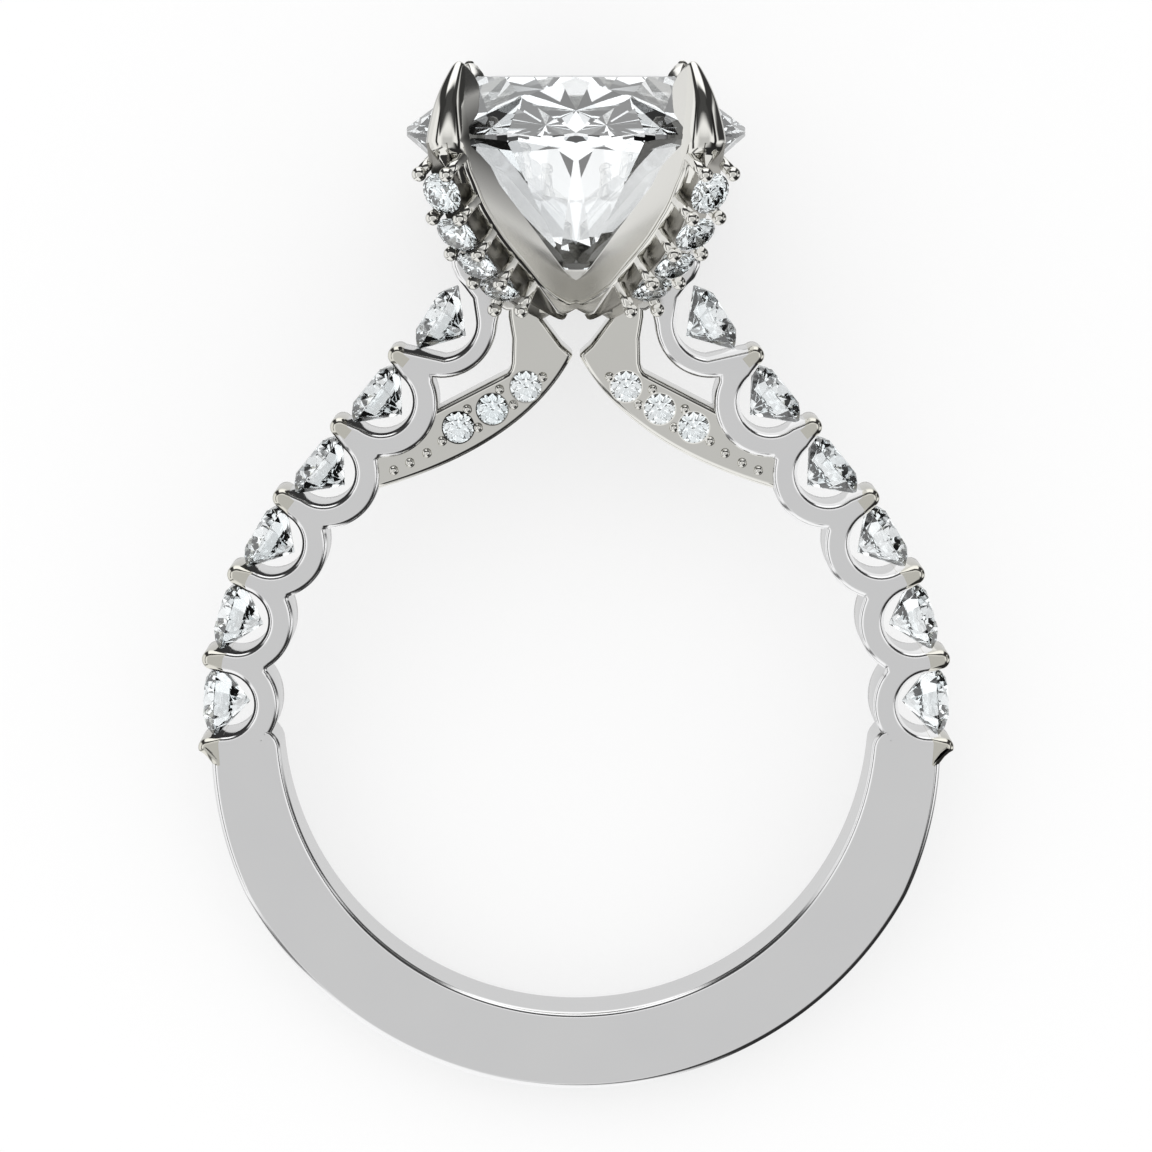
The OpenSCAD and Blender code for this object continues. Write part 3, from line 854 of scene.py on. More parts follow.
@dataclass
class Bridge:
    """One half of the gallery bridge, with its beads and its seats for small stones."""

    hand: Hand
    half: float = 0.9
    edge: float = 0.18
    stones: tuple[Point, ...] = ((1.44, -2.18), (2.41, -2.83), (3.39, -3.36))
    stone_size: float = 0.9
    girdle_drop: float = 0.07
    seat_gap: float = 0.03
    seat_depth: float = 0.5
    seat_tip: float = 0.02
    seat_reach: float = 0.2
    seat_facets: int = 48
    beads: tuple[Point, ...] = (
        (0.96, -1.9), (2.2, -2.26), (1.8, -2.7), (3.13, -2.83), (2.82, -3.36), (3.86, -3.75), (4.3, -4.1),
        (4.79, -4.38), (5.26, -4.6)
    )
    bead_size: float = 0.3
    bead_sink: float = 0.02

    def outline(self) -> list[Point]:
        """The closed outline in X and Z."""
        low = []
        start, pull, end = Vector((5.5, -5.08)), Vector((1.45, -3.84)), Vector((0.11, -1.32))
        for i in range(25):
            t = i / 24
            low.append(tuple(start * (1 - t) ** 2 + pull * 2 * t * (1 - t) + end * t * t))
        rest = [
            (0.11, -1.25), (0.26, -1.1), (0.41, -0.97), (0.68, -0.61), (0.95, -0.25), (1.0, 0.3), (1.92, 0.3),
            (1.94, -0.17), (1.84, -0.8), (1.86, -1.5), (1.9, -1.68), (1.98, -1.79), (2.12, -1.86),
            (3.85, -2.75), (4.4, -3.04), (5.4, -3.74), (6.3, -4.74), (5.9, -5.2)
        ]
        return [(x, HEAD_Z + z) for x, z in [*low, *rest]]

    def seats(self) -> bpy.types.Object:
        """A throwaway object of the rooms that the stones need, on both faces."""
        cutter = bmesh.new()
        radius = self.stone_size / 2 + self.seat_gap
        profile = ((self.seat_tip, self.seat_depth), (radius, self.girdle_drop), (radius, -self.seat_reach))
        turns = [math.tau * k / self.seat_facets for k in range(self.seat_facets)]
        for face in Face:
            for x, z in self.stones:
                rings = []
                for r, depth in profile:
                    y = face.value * (self.half - depth)
                    middle = Vector((self.hand.value * x, y, HEAD_Z + z))
                    round_points = [middle + Vector((r * math.cos(t), 0.0, r * math.sin(t))) for t in turns]
                    rings.append([cutter.verts.new(p) for p in round_points])
                for low, high in zip(rings, rings[1:]):
                    for k in range(self.seat_facets):
                        j = (k + 1) % self.seat_facets
                        cutter.faces.new((low[k], low[j], high[j], high[k]))
                cutter.faces.new(rings[0])
                cutter.faces.new(rings[-1])
        bmesh.ops.recalc_face_normals(cutter, faces=cutter.faces)
        data = bpy.data.meshes.new("seat_room")
        cutter.to_mesh(data)
        cutter.free()
        data.transform(PLACE.matrix())
        return add_object("seat_room", data)

    def build(self, palette: Palette) -> bpy.types.Object:
        """Builds and dresses the bridge half.

        Args:
            palette: The finishes.

        Returns:
            The finished object.
        """
        solid = Solid(f"bridge_{self.hand.name.lower()}")
        plate = plate_rings(self.outline(), self.half, self.edge)
        solid.shell(mirrored(plate, self.hand), palette.get("bright_metal"))
        solid.sharpen(50)
        made = solid.finish(Slot.METAL)
        carve(made, self.seats())
        return made

    def bead_points(self) -> list[tuple[Vector, Vector]]:
        """Place and outward direction of every bead."""
        out = []
        for face in Face:
            for x, z in self.beads:
                at = Vector((x * self.hand.value, face.value * (self.half - self.bead_sink), HEAD_Z + z))
                out.append((at, Vector((0.0, face.value, 0.0))))
        return out


def carve(made: bpy.types.Object, cutter: bpy.types.Object) -> None:
    """Cuts one mesh out of another and leaves a plain mesh.

    Args:
        made: The object that keeps its place.
        cutter: The object that is removed afterwards.
    """
    modifier = made.modifiers.new("carve", "BOOLEAN")
    modifier.operation = "DIFFERENCE"
    modifier.solver = "EXACT"
    modifier.object = cutter
    graph = bpy.context.evaluated_depsgraph_get()
    data = bpy.data.meshes.new_from_object(made.evaluated_get(graph))
    made.modifiers.clear()
    old = made.data
    made.data = data
    bpy.data.meshes.remove(old)
    spare = cutter.data
    bpy.data.objects.remove(cutter)
    bpy.data.meshes.remove(spare)


@dataclass
class Base:
    """The block under the centre stone that joins arms, bridge and shoulders, with cheeks by its culet."""

    half: float = 0.895
    edge: float = 0.12
    cheek: float = 0.14
    cheek_edge: float = 0.05
    block: tuple[Point, ...] = (
        (0.0, 0.02), (1.0, 0.0), (2.0, 0.0), (2.25, 0.15), (2.6, 0.5), (2.75, 0.9), (2.6, 1.2), (1.6, 1.2),
        (0.75, 0.62), (0.3, 0.52), (0.0, 0.5)
    )
    cheek_line: tuple[Point, ...] = (
        (0.0, 0.2), (1.2, 0.2), (1.5, 0.5), (1.5, 1.55), (1.0, 1.34), (0.6, 1.22), (0.3, 1.18), (0.0, 1.17)
    )

    @staticmethod
    def both_sides(right: tuple[Point, ...]) -> list[Point]:
        """The closed outline whose right half is given, over the head's foot."""
        outline = [(x, HEAD_Z + z) for x, z in right]
        return outline + [(-x, HEAD_Z + z) for x, z in reversed(right) if x > 0]

    def build(self, palette: Palette) -> bpy.types.Object:
        """Builds and dresses the base.

        Args:
            palette: The finishes.

        Returns:
            The finished object.
        """
        metal = palette.get("blade_metal")
        solid = Solid("base")
        solid.shell(plate_rings(self.both_sides(self.block), self.half, self.edge), metal)
        middle = self.half - self.cheek / 2
        for face in Face:
            cheek = plate_rings(self.both_sides(self.cheek_line), self.cheek / 2, self.cheek_edge)
            move = Vector((0.0, face.value * middle, 0.0))
            solid.shell([[p + move for p in ring] for ring in cheek], metal)
        solid.sharpen(50)
        return solid.finish(Slot.METAL)


@dataclass
class Arm:
    """One arm: flat blade and claw side, rounded claw, and the rail that carries small stones."""

    name: str
    azimuth: float
    blade_half: float = 0.5
    blade_edge: float = 0.045
    stone_size: float = 1.2
    stones: tuple[Row, ...] = ((3.95, 0.76, -60), (5.02, 1.48, -52), (6.01, 2.38, -40), (6.71, 3.53, -23))
    rods: tuple[Row, ...] = (
        (3.52, 0.16, -62), (4.57, 0.98, -56), (5.65, 1.83, -47), (6.5, 2.85, -33), (7.14, 4.06, -14)
    )
    rod_aims: tuple[float, ...] = (-51, -43, -40, -33, -31)
    rod_ball: float = 0.205
    rod_radius: float = 0.165
    rod_length: float = 0.9
    rod_side: float = 0.45
    rod_sink: float = 0.42
    stone_sink: float = 0.26
    rail_depth: float = 0.95
    keel_foot: Point = (0.3, 0.2)
    strip: tuple[Point, ...] = (
        (0.0, 0.38), (0.03, 0.46), (0.1, 0.52), (0.2, 0.54), (0.28, 0.51), (0.34, 0.44), (0.37, 0.34),
        (0.38, 0.1)
    )
    keel: tuple[Point, ...] = ((0.45, 0.2), (0.25, 0.22), (0.1, 0.25), (0.03, 0.3), (0.0, 0.345), (0.3, 0.02))
    rail_top: Point = (6.94, 4.9)
    rail_foot: tuple[Point, ...] = ((1.45, -0.2), (0.98, -0.1))
    rail_inside: tuple[Point, ...] = (
        (6.2, 4.85), (6.0, 4.25), (5.62, 3.75), (5.3, 3.3), (4.85, 2.85), (4.4, 2.42), (3.85, 1.98),
        (3.3, 1.58), (2.7, 1.12), (2.2, 0.8), (1.2, 0.4), (0.8, 0.35)
    )
    thickness: tuple[Point, ...] = (
        (5.0, 0.5), (5.35, 0.49), (5.86, 0.4), (6.45, 0.27), (6.94, 0.14), (7.1, 0.05)
    )
    claw: tuple[Row, ...] = (
        (3.8, 6.2, 0.4), (4.05, 6.38, 0.44), (4.3, 6.58, 0.49), (4.5, 6.76, 0.53), (4.7, 6.92, 0.57),
        (4.85, 6.98, 0.59), (5.0, 7.0, 0.59), (5.35, 6.93, 0.53), (5.86, 6.78, 0.42), (6.2, 6.63, 0.34),
        (6.45, 6.48, 0.285), (6.7, 6.3, 0.225), (6.94, 6.1, 0.16), (7.05, 5.98, 0.1), (7.1, 5.9, 0.03)
    )
    claw_back: float = 0.3
    claw_back_share: float = 0.9

    def matrix(self) -> Matrix:
        """Arm's own frame (radius along X) to the upright ring."""
        return Matrix.Translation((0, 0, HEAD_Z)) @ Matrix.Rotation(math.radians(self.azimuth), 4, "Z")

    def blade_outline(self) -> list[Point]:
        """Outline of the flat blade and of the claw's flat side, radius against height."""
        return [
            (5.9, 7.08), (5.62, 6.93), (5.4, 6.72), (5.27, 6.46), (5.29, 6.28), (5.36, 6.1), (5.45, 5.88),
            (5.56, 5.68), (5.85, 5.46), (6.16, 5.26), (6.24, 5.2), (6.24, 4.93), (6.13, 4.9), (5.6, 4.6),
            (5.05, 4.25), (4.6, 3.72), (4.1, 3.33), (3.65, 2.99), (3.2, 2.65), (2.72, 2.28), (2.1, 1.78),
            (1.49, 1.3), (0.95, 0.95), (0.6, 0.85), (0.6, 0.1), (0.85, 0.02), (1.15, -0.05), (1.45, -0.08),
            (1.67, -0.01), (2.5, 0.68), (3.3, 1.38), (3.9, 1.88), (4.45, 2.33), (5.05, 2.8), (5.57, 3.31),
            (5.82, 3.68), (6.0, 4.08), (6.18, 4.5), (6.36, 4.9), (6.4, 5.35), (6.37, 5.86), (6.2, 6.45),
            (5.96, 6.94)
        ]

    def plate(self) -> list[Ring]:
        """Rings of the flat plate, thinned towards the claw's tip."""
        rings = plate_rings(self.blade_outline(), self.blade_half, self.blade_edge, 3)
        for ring in rings:
            for p in ring:
                p.y *= blend_value(self.thickness, p.z) / self.blade_half
        return rings

    def claw_rings(self) -> list[Ring]:
        """Rings of the claw's rounded outer body."""
        reach = [(row[0], row[1]) for row in self.claw]
        radii = [(row[0], row[2]) for row in self.claw]
        smooth_reach = smooth_line(reach, 3)
        smooth_radii = smooth_line(radii, 3)
        rings = []
        for (z, outer), (_, radius) in zip(smooth_reach, smooth_radii):
            centre = outer - radius
            back = centre - self.claw_back * min(1.0, radius * 3)
            side = radius * self.claw_back_share
            ring = [Vector((back, -side, z))]
            for degree in range(-90, 91, 9):
                a = math.radians(degree)
                ring.append(Vector((centre + radius * math.cos(a), radius * math.sin(a), z)))
            ring.append(Vector((back, side, z)))
            rings.append(ring)
        return rings

    def bed(self) -> list[Point]:
        """The rail's outer line: under each stone's girdle, and deeper between the stones."""
        places = []
        for rod, stone in zip(reversed(self.rods[1:]), reversed(self.stones)):
            places += [(rod, self.rod_sink), (stone, self.stone_sink)]
        places.append((self.rods[0], self.rod_sink))
        line = []
        for (r0, z0, tilt), sink in places:
            a = math.radians(tilt)
            line.append((r0 - sink * math.cos(a), z0 - sink * math.sin(a)))
        return line

    def rail_rings(self) -> tuple[list[Ring], list[Ring]]:
        """Rings of the rail's strip along the blade, and of the narrow keel from it to the stones."""
        outside = smooth_line([self.rail_top, *self.bed(), *self.rail_foot], 5)
        inside = smooth_line(list(self.rail_inside), 5)
        rings = ([], [])
        for (ox, oz), (ix, iz) in zip(outside, inside):
            end, start = Vector((ox, 0, oz)), Vector((ix, 0, iz))
            way = end - start
            fit = min(1.0, way.length / self.rail_depth)
            way.normalize()
            foot, foot_half = self.keel_foot
            strip = [(start + way * depth * fit, h) for depth, h in self.strip]
            keel = [(start + way * foot * fit, foot_half)]
            keel += [(end - way * depth * fit, h) for depth, h in self.keel]
            for part, side in zip(rings, (strip, keel)):
                ring = [Vector((p.x, -h, p.z)) for p, h in side]
                ring += [Vector((p.x, h, p.z)) for p, h in reversed(side)]
                part.append(ring)
        return rings

    def build(self, palette: Palette) -> list[bpy.types.Object]:
        """Builds and dresses the arm.

        Args:
            palette: The finishes.

        Returns:
            The blade with its claw, and the rail.
        """
        turn = self.matrix()
        blade = Solid(f"blade_{self.name}")
        blade.shell([[turn @ p for p in ring] for ring in self.plate()], palette.get("blade_metal"))
        blade.shell([[turn @ p for p in ring] for ring in self.claw_rings()], palette.get("bright_metal"))
        blade.sharpen(40)
        rail = Solid(f"rail_{self.name}")
        # The keel takes the darker recess metal: painted shade in the recess behind the small stones
        for rings, metal in zip(self.rail_rings(), ("bright_metal", "recess_metal")):
            rail.shell([[turn @ p for p in ring] for ring in rings], palette.get(metal))
        rail.sharpen(50)
        return [blade.finish(Slot.METAL), rail.finish(Slot.METAL)]

    def rod_points(self) -> list[tuple[Vector, Vector]]:
        """Ball middle and outward direction of every shared claw."""
        out = []
        turn = self.matrix()
        for (r0, z0, _), aimed in zip(self.rods, self.rod_aims):
            a = math.radians(aimed)
            for side in (-1, 1):
                at = turn @ Vector((r0, side * self.rod_side, z0))
                aim = turn.to_3x3() @ Vector((math.cos(a), 0.0, math.sin(a)))
                out.append((at, aim))
        return out


class Scatter(Enum):
    """What a scatter tree puts on its points."""

    ROD = "rod"
    BEAD = "bead"


@dataclass
class ScatterTree:
    """A Geometry Nodes tree that stands a rod with a ball end, or a bead, on every point along its aim."""

    kind: Scatter
    material: bpy.types.Material
    segments: int = 28
    rings: int = 16

    def build(self) -> bpy.types.NodeTree:
        """Builds the tree with named inputs for the sizes.

        Returns:
            The node group.
        """
        tree = bpy.data.node_groups.new(f"{self.kind.value}_scatter", "GeometryNodeTree")
        face = tree.interface
        face.new_socket("Geometry", in_out="INPUT", socket_type="NodeSocketGeometry")
        for name in ("Ball Radius", "Rod Radius", "Rod Length"):
            face.new_socket(name, in_out="INPUT", socket_type="NodeSocketFloat")
        face.new_socket("Geometry", in_out="OUTPUT", socket_type="NodeSocketGeometry")
        start = add_node(tree, "NodeGroupInput").outputs
        shape = add_node(tree, "GeometryNodeMeshUVSphere", {
            "Segments": self.segments, "Rings": self.rings, "Radius": start["Ball Radius"]
        }).outputs["Mesh"]
        if self.kind is Scatter.ROD:
            rod = add_node(tree, "GeometryNodeMeshCylinder", {
                "Vertices": self.segments, "Radius": start["Rod Radius"], "Depth": start["Rod Length"]
            })
            sink = calculate(tree, "MULTIPLY", start["Rod Length"], -0.5)
            lower = add_node(tree, "ShaderNodeCombineXYZ", {"Z": sink})
            moved = add_node(tree, "GeometryNodeTransform", {
                "Geometry": rod.outputs["Mesh"], "Translation": lower.outputs["Vector"]
            })
            shape = add_node(tree, "GeometryNodeJoinGeometry", {
                "Geometry": [moved.outputs["Geometry"], shape]
            }).outputs["Geometry"]
        aim = add_node(tree, "GeometryNodeInputNamedAttribute", {"Name": "aim"}, data_type="FLOAT_VECTOR")
        turn = add_node(tree, "FunctionNodeAlignRotationToVector", axis="Z", inputs={
            "Vector": aim.outputs["Attribute"]
        })
        put = add_node(tree, "GeometryNodeInstanceOnPoints", {
            "Points": start["Geometry"], "Instance": shape, "Rotation": turn.outputs["Rotation"]
        })
        real = add_node(tree, "GeometryNodeRealizeInstances", {"Geometry": put.outputs["Instances"]})
        smooth = add_node(tree, "GeometryNodeSetShadeSmooth", {"Geometry": real.outputs["Geometry"]})
        dress = add_node(tree, "GeometryNodeSetMaterial", {
            "Geometry": smooth.outputs["Geometry"], "Material": self.material
        })
        add_node(tree, "NodeGroupOutput", {"Geometry": dress.outputs["Geometry"]})
        return tree

    def scatter(
        self, name: str, points: list[tuple[Vector, Vector]], sizes: dict[str, float]
    ) -> bpy.types.Object:
        """Runs the tree on points of the upright ring and keeps the result as a plain mesh.

        Args:
            name: Name of the finished object.
            points: Place and aim of each copy, in the upright ring's millimetres.
            sizes: Values of the tree's named inputs, in millimetres.

        Returns:
            The finished object.
        """
        data = bpy.data.meshes.new(f"{name}_points")
        data.from_pydata([PLACE.matrix() @ p for p, _ in points], [], [])
        attribute = data.attributes.new("aim", "FLOAT_VECTOR", "POINT")
        for i, (_, aim) in enumerate(points):
            attribute.data[i].vector = PLACE.direction(aim)
        carrier = add_object(name, data)
        tree = self.build()
        modifier = carrier.modifiers.new("scatter", "NODES")
        modifier.node_group = tree
        for item in tree.interface.items_tree:
            if item.item_type == "SOCKET" and item.in_out == "INPUT" and item.name in sizes:
                modifier[item.identifier] = sizes[item.name] / MM
        graph = bpy.context.evaluated_depsgraph_get()
        made = bpy.data.meshes.new_from_object(carrier.evaluated_get(graph))
        carrier.modifiers.clear()
        carrier.data = made
        bpy.data.meshes.remove(data)
        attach(carrier, "root")
        LOG.info("%s: %d faces", name, len(made.polygons))
        return carrier


@dataclass
class Cut:
    """A brilliant cut: a table, stars, kites, a girdle and a pointed pavilion.

    The table, star and lower facets reach to shares of the girdle's radius, and split is the number of girdle
    sides in a half facet.
    """

    width: float
    length: float
    crown: float
    girdle: float
    pavilion: float
    table: float = 0.57
    star: float = 0.52
    lower: float = 0.24
    split: int = 3

    def shape(self) -> tuple[list[Vector], list[list[int]]]:
        """Corners and facets, the girdle's upper edge at zero and the table up.

        Returns:
            The corners and, for each facet, its corner indices.
        """
        a, b = self.width / 2, self.length / 2
        star = self.table + (1 - self.table) * self.star
        star_z = self.crown * (1 - star * math.cos(math.pi / 8)) / (1 - self.table)
        low_z = -self.girdle - self.pavilion * (1 - self.lower * math.cos(math.pi / 8))
        rim = 16 * self.split
        fan = 2 * self.split

        def at(radius: float, turn: float, z: float) -> Vector:
            """A corner at a share of the girdle's radius and a share of a full turn."""
            return Vector((a * radius * math.cos(math.tau * turn), b * radius * math.sin(math.tau * turn), z))

        def swell(steps: int, inner: float, rise: float) -> float:
            """How far a flat half facet drops past the girdle's chord at a point of the girdle."""
            chord = math.cos(math.pi / 16)
            turn = (steps % (2 * self.split)) / rim * math.tau
            middle = math.pi / 16 if turn <= math.pi / 8 else 3 * math.pi / 16
            return rise * (math.cos(turn - middle) - chord) / (chord - inner * chord)

        top_rise = star_z
        low_rise = -self.girdle - low_z
        points = [at(self.table, k / 8, self.crown) for k in range(8)]
        points += [at(star, (k + 0.5) / 8, star_z) for k in range(8)]
        points += [at(1.0, j / rim, -swell(j, star, top_rise)) for j in range(rim)]
        points += [at(1.0, j / rim, swell(j, self.lower, low_rise) - self.girdle) for j in range(rim)]
        points += [at(self.lower, (k + 0.5) / 8, low_z) for k in range(8)]
        points.append(Vector((0.0, 0.0, -self.girdle - self.pavilion)))
        top, bottom = 16, 16 + rim
        low = bottom + rim
        culet = low + 8
        faces = [list(range(8))]
        for k in range(8):
            faces.append([k, (k + 1) % 8, 8 + k])
            faces.append([k, 8 + k, top + k * fan, 8 + (k + 7) % 8])
            faces.append([culet, low + (k + 7) % 8, bottom + k * fan, low + k])
            for half in (0, self.split):
                run = [(k * fan + half + i) % rim for i in range(self.split + 1)]
                faces.append([8 + k, *[top + j for j in reversed(run)]])
                faces.append([low + k, *[bottom + j for j in run]])
        faces += [[top + j, top + (j + 1) % rim, bottom + (j + 1) % rim, bottom + j] for j in range(rim)]
        return points, faces

    def place(self, node: str, matrix: Matrix, material: bpy.types.Material) -> bpy.types.Object:
        """Builds the stone in the place of a CAD node.

        Args:
            node: The CAD node that it stands for.
            matrix: Stone to upright ring.
            material: Its finish.

        Returns:
            The finished object.
        """
        points, faces = self.shape()
        solid = Solid(f"{node}_cut")
        solid.facets([matrix @ p for p in points], faces, material)
        made = solid.finish(Slot.STONE)
        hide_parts(node)
        return made


def round_cut(size: float, crown: float = 0.15, girdle: float = 0.02, pavilion: float = 0.43) -> Cut:
    """The cut of a round stone.

    Args:
        size: Its diameter.
        crown: Height above the girdle, as a share of the diameter.
        girdle: Height of the girdle, as a share.
        pavilion: Depth below the girdle, as a share.

    Returns:
        The cut.
    """
    return Cut(size, size, size * crown, size * girdle, size * pavilion)


@dataclass
class Stones:
    """All the stones of the ring."""

    arms: list[Arm]
    oval_width: float = 9.7
    oval_length: float = 13.6
    oval_crown: float = 1.45
    oval_girdle: float = 0.26
    oval_table: float = 0.58
    pavilion_angle: float = 41.0
    culet_height: float = 0.73
    shoulder_drop: float = 0.42

    def build(self, palette: Palette) -> None:
        """Builds and dresses every stone.

        Args:
            palette: The finishes.
        """
        pavilion = self.oval_width / 2 * math.tan(math.radians(self.pavilion_angle))
        oval = Cut(
            self.oval_width, self.oval_length, self.oval_crown, self.oval_girdle, pavilion,
            table=self.oval_table, split=6
        )
        top = Matrix.Translation((0, 0, HEAD_Z + self.culet_height + pavilion + self.oval_girdle))
        oval.place("centre_stone", top, palette.get("clear_stone"))
        small = palette.get("small_stone")
        for hand in Hand:
            self.shoulder_stones(hand, small)
            self.bridge_stones(hand, small)
        for arm in self.arms:
            cut = round_cut(arm.stone_size)
            for place, (r0, z0, tilt) in enumerate(arm.stones, 1):
                turn = Matrix.Rotation(math.radians(90 - tilt), 4, "Y")
                matrix = arm.matrix() @ Matrix.Translation((r0, 0, z0)) @ turn
                matrix = matrix @ Matrix.Translation((0, 0, cut.girdle / 2))
                cut.place(f"rail_stone_{arm.name}_{place}", matrix, small)

    def shoulder_stones(self, hand: Hand, material: bpy.types.Material) -> None:
        """Builds the stones of one shoulder.

        Args:
            hand: The side.
            material: Their finish.
        """
        cut = round_cut(LINE.stone_size)
        for cell in range(1, LINE.cells + 1):
            p = LINE.cell_point(cell, 0.0, -self.shoulder_drop)
            turn = Matrix.Rotation(math.radians(90 - LINE.cell_tilt(cell)) * hand.value, 4, "Y")
            matrix = Matrix.Translation((p.x * hand.value, 0, p.y)) @ turn
            matrix = matrix @ Matrix.Translation((0, 0, cut.girdle / 2))
            cut.place(f"shoulder_stone_{hand.name.lower()}_{cell}", matrix, material)

    def bridge_stones(self, hand: Hand, material: bpy.types.Material) -> None:
        """Builds the small stones on both faces of one bridge half.

        Args:
            hand: The side.
            material: Their finish.
        """
        bridge = Bridge(hand)
        cut = round_cut(bridge.stone_size)
        for face in Face:
            for place, (x, z) in enumerate(bridge.stones, 1):
                at = Vector((x * hand.value, face.value * (bridge.half - bridge.girdle_drop), HEAD_Z + z))
                turn = Matrix.Rotation(math.radians(-90 * face.value), 4, "X")
                matrix = Matrix.Translation(at) @ turn @ Matrix.Translation((0, 0, cut.girdle / 2))
                cut.place(f"bridge_stone_{face.name.lower()}_{hand.name.lower()}_{place}", matrix, material)


FRONT_EDGE = 0.02


@dataclass(frozen=True)
class Card:
    """A soft card hung far off: its place in degrees, half sizes and edge as sines, and its brightness."""

    turn: float
    rise: float
    wide: float
    high: float
    soft: float
    value: float
    metal_only: bool = False

    def axes(self) -> tuple[Vector, Vector, Vector]:
        """The card's aim, side and top in the row frame; no turn is towards the camera, more goes right."""
        t, r = math.radians(self.turn), math.radians(self.rise)
        aim = Vector((math.sin(t) * math.cos(r), -math.cos(t) * math.cos(r), math.sin(r)))
        side = Vector((math.cos(t), math.sin(t), 0.0))
        top = side.cross(aim)
        return PLACE.direction(aim), PLACE.direction(side), PLACE.direction(top)

    def mask(self, tree: bpy.types.NodeTree, where: bpy.types.NodeSocket) -> bpy.types.NodeSocket:
        """Adds the nodes that are one on the card and zero off it.

        Args:
            tree: The world's tree.
            where: The direction looked in.

        Returns:
            The mask.
        """
        aim, side, top = self.axes()
        out = self.edge(tree, self.along(tree, where, aim), 0.0, FRONT_EDGE)
        for axis, size in ((side, self.wide), (top, self.high)):
            run = calculate(tree, "ABSOLUTE", self.along(tree, where, axis))
            inside = self.edge(tree, run, size + self.soft, size - self.soft)
            out = calculate(tree, "MULTIPLY", out, inside)
        return out

    @staticmethod
    def along(tree: bpy.types.NodeTree, where: bpy.types.NodeSocket, axis: Vector) -> bpy.types.NodeSocket:
        """How far a direction runs along an axis."""
        dot = add_node(tree, "ShaderNodeVectorMath", {0: where, 1: axis}, operation="DOT_PRODUCT")
        return dot.outputs["Value"]

    @staticmethod
    def edge(
        tree: bpy.types.NodeTree, value: bpy.types.NodeSocket, low: float, high: float
    ) -> bpy.types.NodeSocket:
        """Adds a soft step from zero at the low value to one at the high one.

        Args:
            tree: The world's tree.
            value: The value that is stepped.
            low: Where the step is zero.
            high: Where it is one.

        Returns:
            The step.
        """
        rising = low < high
        return add_node(tree, "ShaderNodeMapRange", interpolation_type="SMOOTHSTEP", inputs={
            "Value": value, "From Min": min(low, high), "From Max": max(low, high),
            "To Min": 0.0 if rising else 1.0, "To Max": 1.0 if rising else 0.0
        }).outputs["Result"]


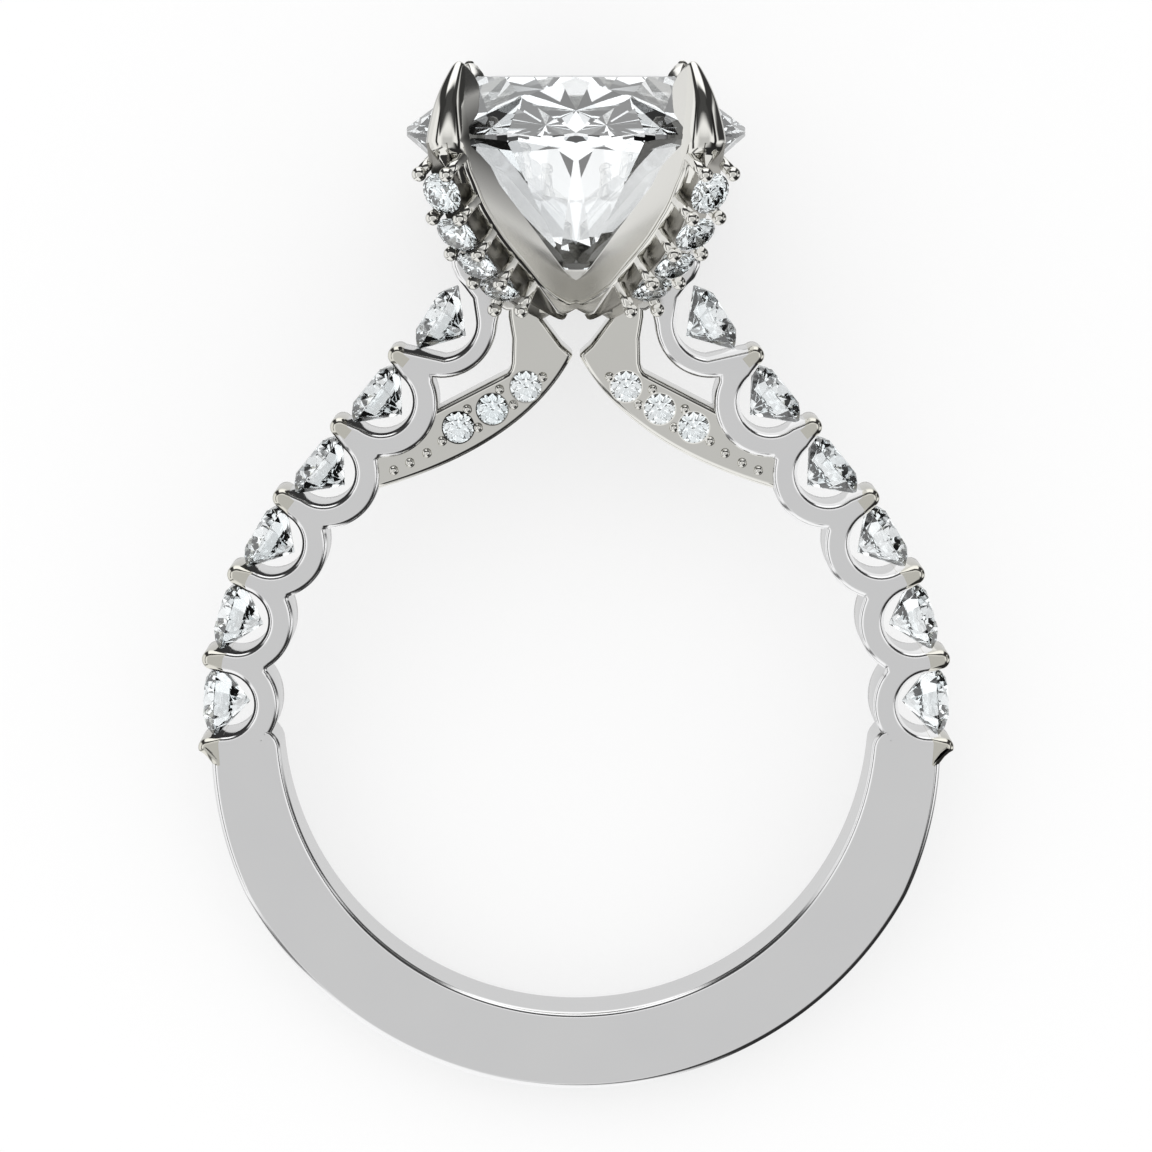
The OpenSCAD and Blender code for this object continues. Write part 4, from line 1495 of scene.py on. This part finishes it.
@dataclass
class Studio:
    """Camera, pale floor and soft light."""

    dip: float = 0.1443
    distance: float = 105.564
    aim_height: float = 4.232
    lens: float = 112.86
    surround: float = 1.15
    even_light: float = 1.0
    stone_contrast: tuple[float, float, float, float] = (0.2, 1.0, 0.0, 1.5)
    floor_half: float = 1.5
    floor_gap: float = 2e-5
    floor_colour: str = "#9C9C9C"
    floor_glow: float = 0.63
    key_spot: Row = (-60.0, -200.0, 120.0)
    key_size: float = 0.3
    key_power: float = 0.12
    cards: tuple[Card, ...] = (
        Card(180, 0, 0.9, 0.5, 0.1, 0.72),
        Card(0, 45, 0.7, 0.25, 0.06, 0.08),
        Card(90, 45, 0.7, 0.25, 0.06, 0.05),
        Card(-90, 45, 0.7, 0.25, 0.06, 0.05),
        Card(0, 90, 0.45, 0.45, 0.08, 1.5),
        Card(110, 12, 0.5, 0.22, 0.1, 0.05, True),
        Card(80, -50, 0.75, 0.42, 0.08, 0.03),
        Card(-80, -45, 0.6, 0.07, 0.04, 0.15),
        Card(-114, 0, 0.3, 0.4, 0.1, 1.0, True),
        Card(62, 0, 0.14, 0.5, 0.05, 0.02, True),
        Card(-62, 0, 0.1, 0.5, 0.05, 0.02, True),
        Card(0, -8, 0.5, 0.45, 0.15, 0.7),
    )

    def camera(self) -> None:
        """Sets the camera at the photograph's angle to the ring."""
        forward = Vector((0, math.cos(self.dip), -math.sin(self.dip)))
        up = Vector((0, math.sin(self.dip), math.cos(self.dip)))
        right = Vector((1, 0, 0))
        at = Vector((0, 0, self.aim_height)) - forward * self.distance
        data = bpy.data.cameras.new("camera")
        data.lens = self.lens
        data.sensor_width = 36.0
        data.clip_start = 0.001
        data.clip_end = 10.0
        data.dof.use_dof = False
        made = add_object("camera", data)
        turn = PLACE.matrix().to_3x3().normalized()
        basis = Matrix((turn @ right, turn @ up, turn @ -forward)).transposed()
        made.matrix_world = Matrix.Translation(PLACE.matrix() @ at) @ basis.to_4x4()
        bpy.context.scene.camera = made

    def floor(self) -> None:
        """Lays the pale floor just under the ring."""
        data = bpy.data.meshes.new("floor")
        s, low = self.floor_half, -self.floor_gap
        data.from_pydata([(-s, -s, low), (s, -s, low), (s, s, low), (-s, s, low)], [], [(0, 1, 2, 3)])
        material = bpy.data.materials.new("floor_paper")
        material.use_nodes = True
        shader = material.node_tree.nodes["Principled BSDF"]
        shader.inputs["Base Color"].default_value = linear(self.floor_colour)
        shader.inputs["Roughness"].default_value = 1.0
        shader.inputs["Specular IOR Level"].default_value = 0.0
        shader.inputs["Emission Color"].default_value = linear("#FFFFFF")
        shader.inputs["Emission Strength"].default_value = self.floor_glow
        data.materials.append(material)
        made = add_object("floor", data)
        made.visible_glossy = False
        made.visible_transmission = False

    @staticmethod
    def mix(
        tree: bpy.types.NodeTree, mask: bpy.types.NodeSocket, off: float | bpy.types.NodeSocket,
        on: float | bpy.types.NodeSocket
    ) -> bpy.types.NodeSocket:
        """The second brightness where the mask is one, else the first."""
        inputs = {"Factor": mask, "A": off, "B": on}
        return add_node(tree, "ShaderNodeMix", inputs, data_type="FLOAT").outputs["Result"]

    def world(self) -> None:
        """Makes the surround that metal and stones mirror, and an even one that lights the floor."""
        world = bpy.data.worlds.new("studio")
        bpy.context.scene.world = world
        world.use_nodes = True
        tree = world.node_tree
        tree.nodes.clear()
        where = add_node(tree, "ShaderNodeTexCoord").outputs["Generated"]
        path = add_node(tree, "ShaderNodeLightPath").outputs
        metal_view = stone_view = self.surround
        for card in self.cards:
            mask = card.mask(tree, where)
            metal_view = self.mix(tree, mask, metal_view, card.value)
            if not card.metal_only:
                stone_view = self.mix(tree, mask, stone_view, card.value)
        # Stones look out on a harder world, since a cut stone shows its surround in black and white
        bounds = dict(zip(("From Min", "From Max", "To Min", "To Max"), self.stone_contrast))
        harder = add_node(tree, "ShaderNodeMapRange", {"Value": stone_view, **bounds}).outputs["Result"]
        seen = self.mix(tree, path["Is Transmission Ray"], metal_view, harder)
        lit = self.mix(tree, path["Is Diffuse Ray"], seen, self.even_light)
        back = add_node(tree, "ShaderNodeBackground", {"Color": lit})
        add_node(tree, "ShaderNodeOutputWorld", {"Surface": back.outputs["Background"]})

    def lamp(self, name: str, spot: Vector, size: float, power: float) -> None:
        """Hangs a soft square lamp that points at the ring's middle.

        Args:
            name: Its name.
            spot: Its place in the upright ring's millimetres.
            size: Its side in metres.
            power: Its power in watts.
        """
        data = bpy.data.lights.new(name, "AREA")
        data.shape = "SQUARE"
        data.size = size
        data.energy = power
        made = add_object(name, data)
        at = PLACE.matrix() @ spot
        aim = PLACE.matrix() @ Vector((0, 0, self.aim_height))
        made.location = at
        made.rotation_mode = "QUATERNION"
        made.rotation_quaternion = (aim - at).to_track_quat("-Z", "Y")
        made.visible_glossy = False
        made.visible_transmission = False

    def build(self) -> None:
        """Builds the whole studio."""
        self.camera()
        self.floor()
        self.world()
        self.lamp("key", Vector(self.key_spot), self.key_size, self.key_power)
        scene = bpy.context.scene
        scene.view_settings.view_transform = "Standard"
        scene.view_settings.look = "None"


def main() -> None:
    """Builds every piece in order and reports it."""
    logging.basicConfig(level=logging.INFO, format="%(name)s %(message)s")
    palette = Palette()
    shank = Shank().build(palette)
    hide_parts("mounting")
    beads: list[tuple[Vector, Vector]] = []
    for hand in Hand:
        Shoulder(hand).build(palette)
        bridge = Bridge(hand)
        bridge.build(palette)
        beads += bridge.bead_points()
    Base().build(palette)
    arms = [
        Arm("front_left", 270 - ARM_ANGLE), Arm("front_right", 270 + ARM_ANGLE),
        Arm("back_left", 90 + ARM_ANGLE), Arm("back_right", 90 - ARM_ANGLE)
    ]
    rods: list[tuple[Vector, Vector]] = []
    for arm in arms:
        arm.build(palette)
        rods += arm.rod_points()
    bright = palette.get("bright_metal")
    rod_tree = ScatterTree(Scatter.ROD, bright)
    rod_tree.scatter("shared_claws", rods, {
        "Ball Radius": Arm.rod_ball, "Rod Radius": Arm.rod_radius, "Rod Length": Arm.rod_length
    })
    ScatterTree(Scatter.BEAD, bright).scatter("beads", beads, {"Ball Radius": Bridge.bead_size / 2})
    Stones(arms).build(palette)
    Studio().build()


if __name__ == "__main__":
    main()
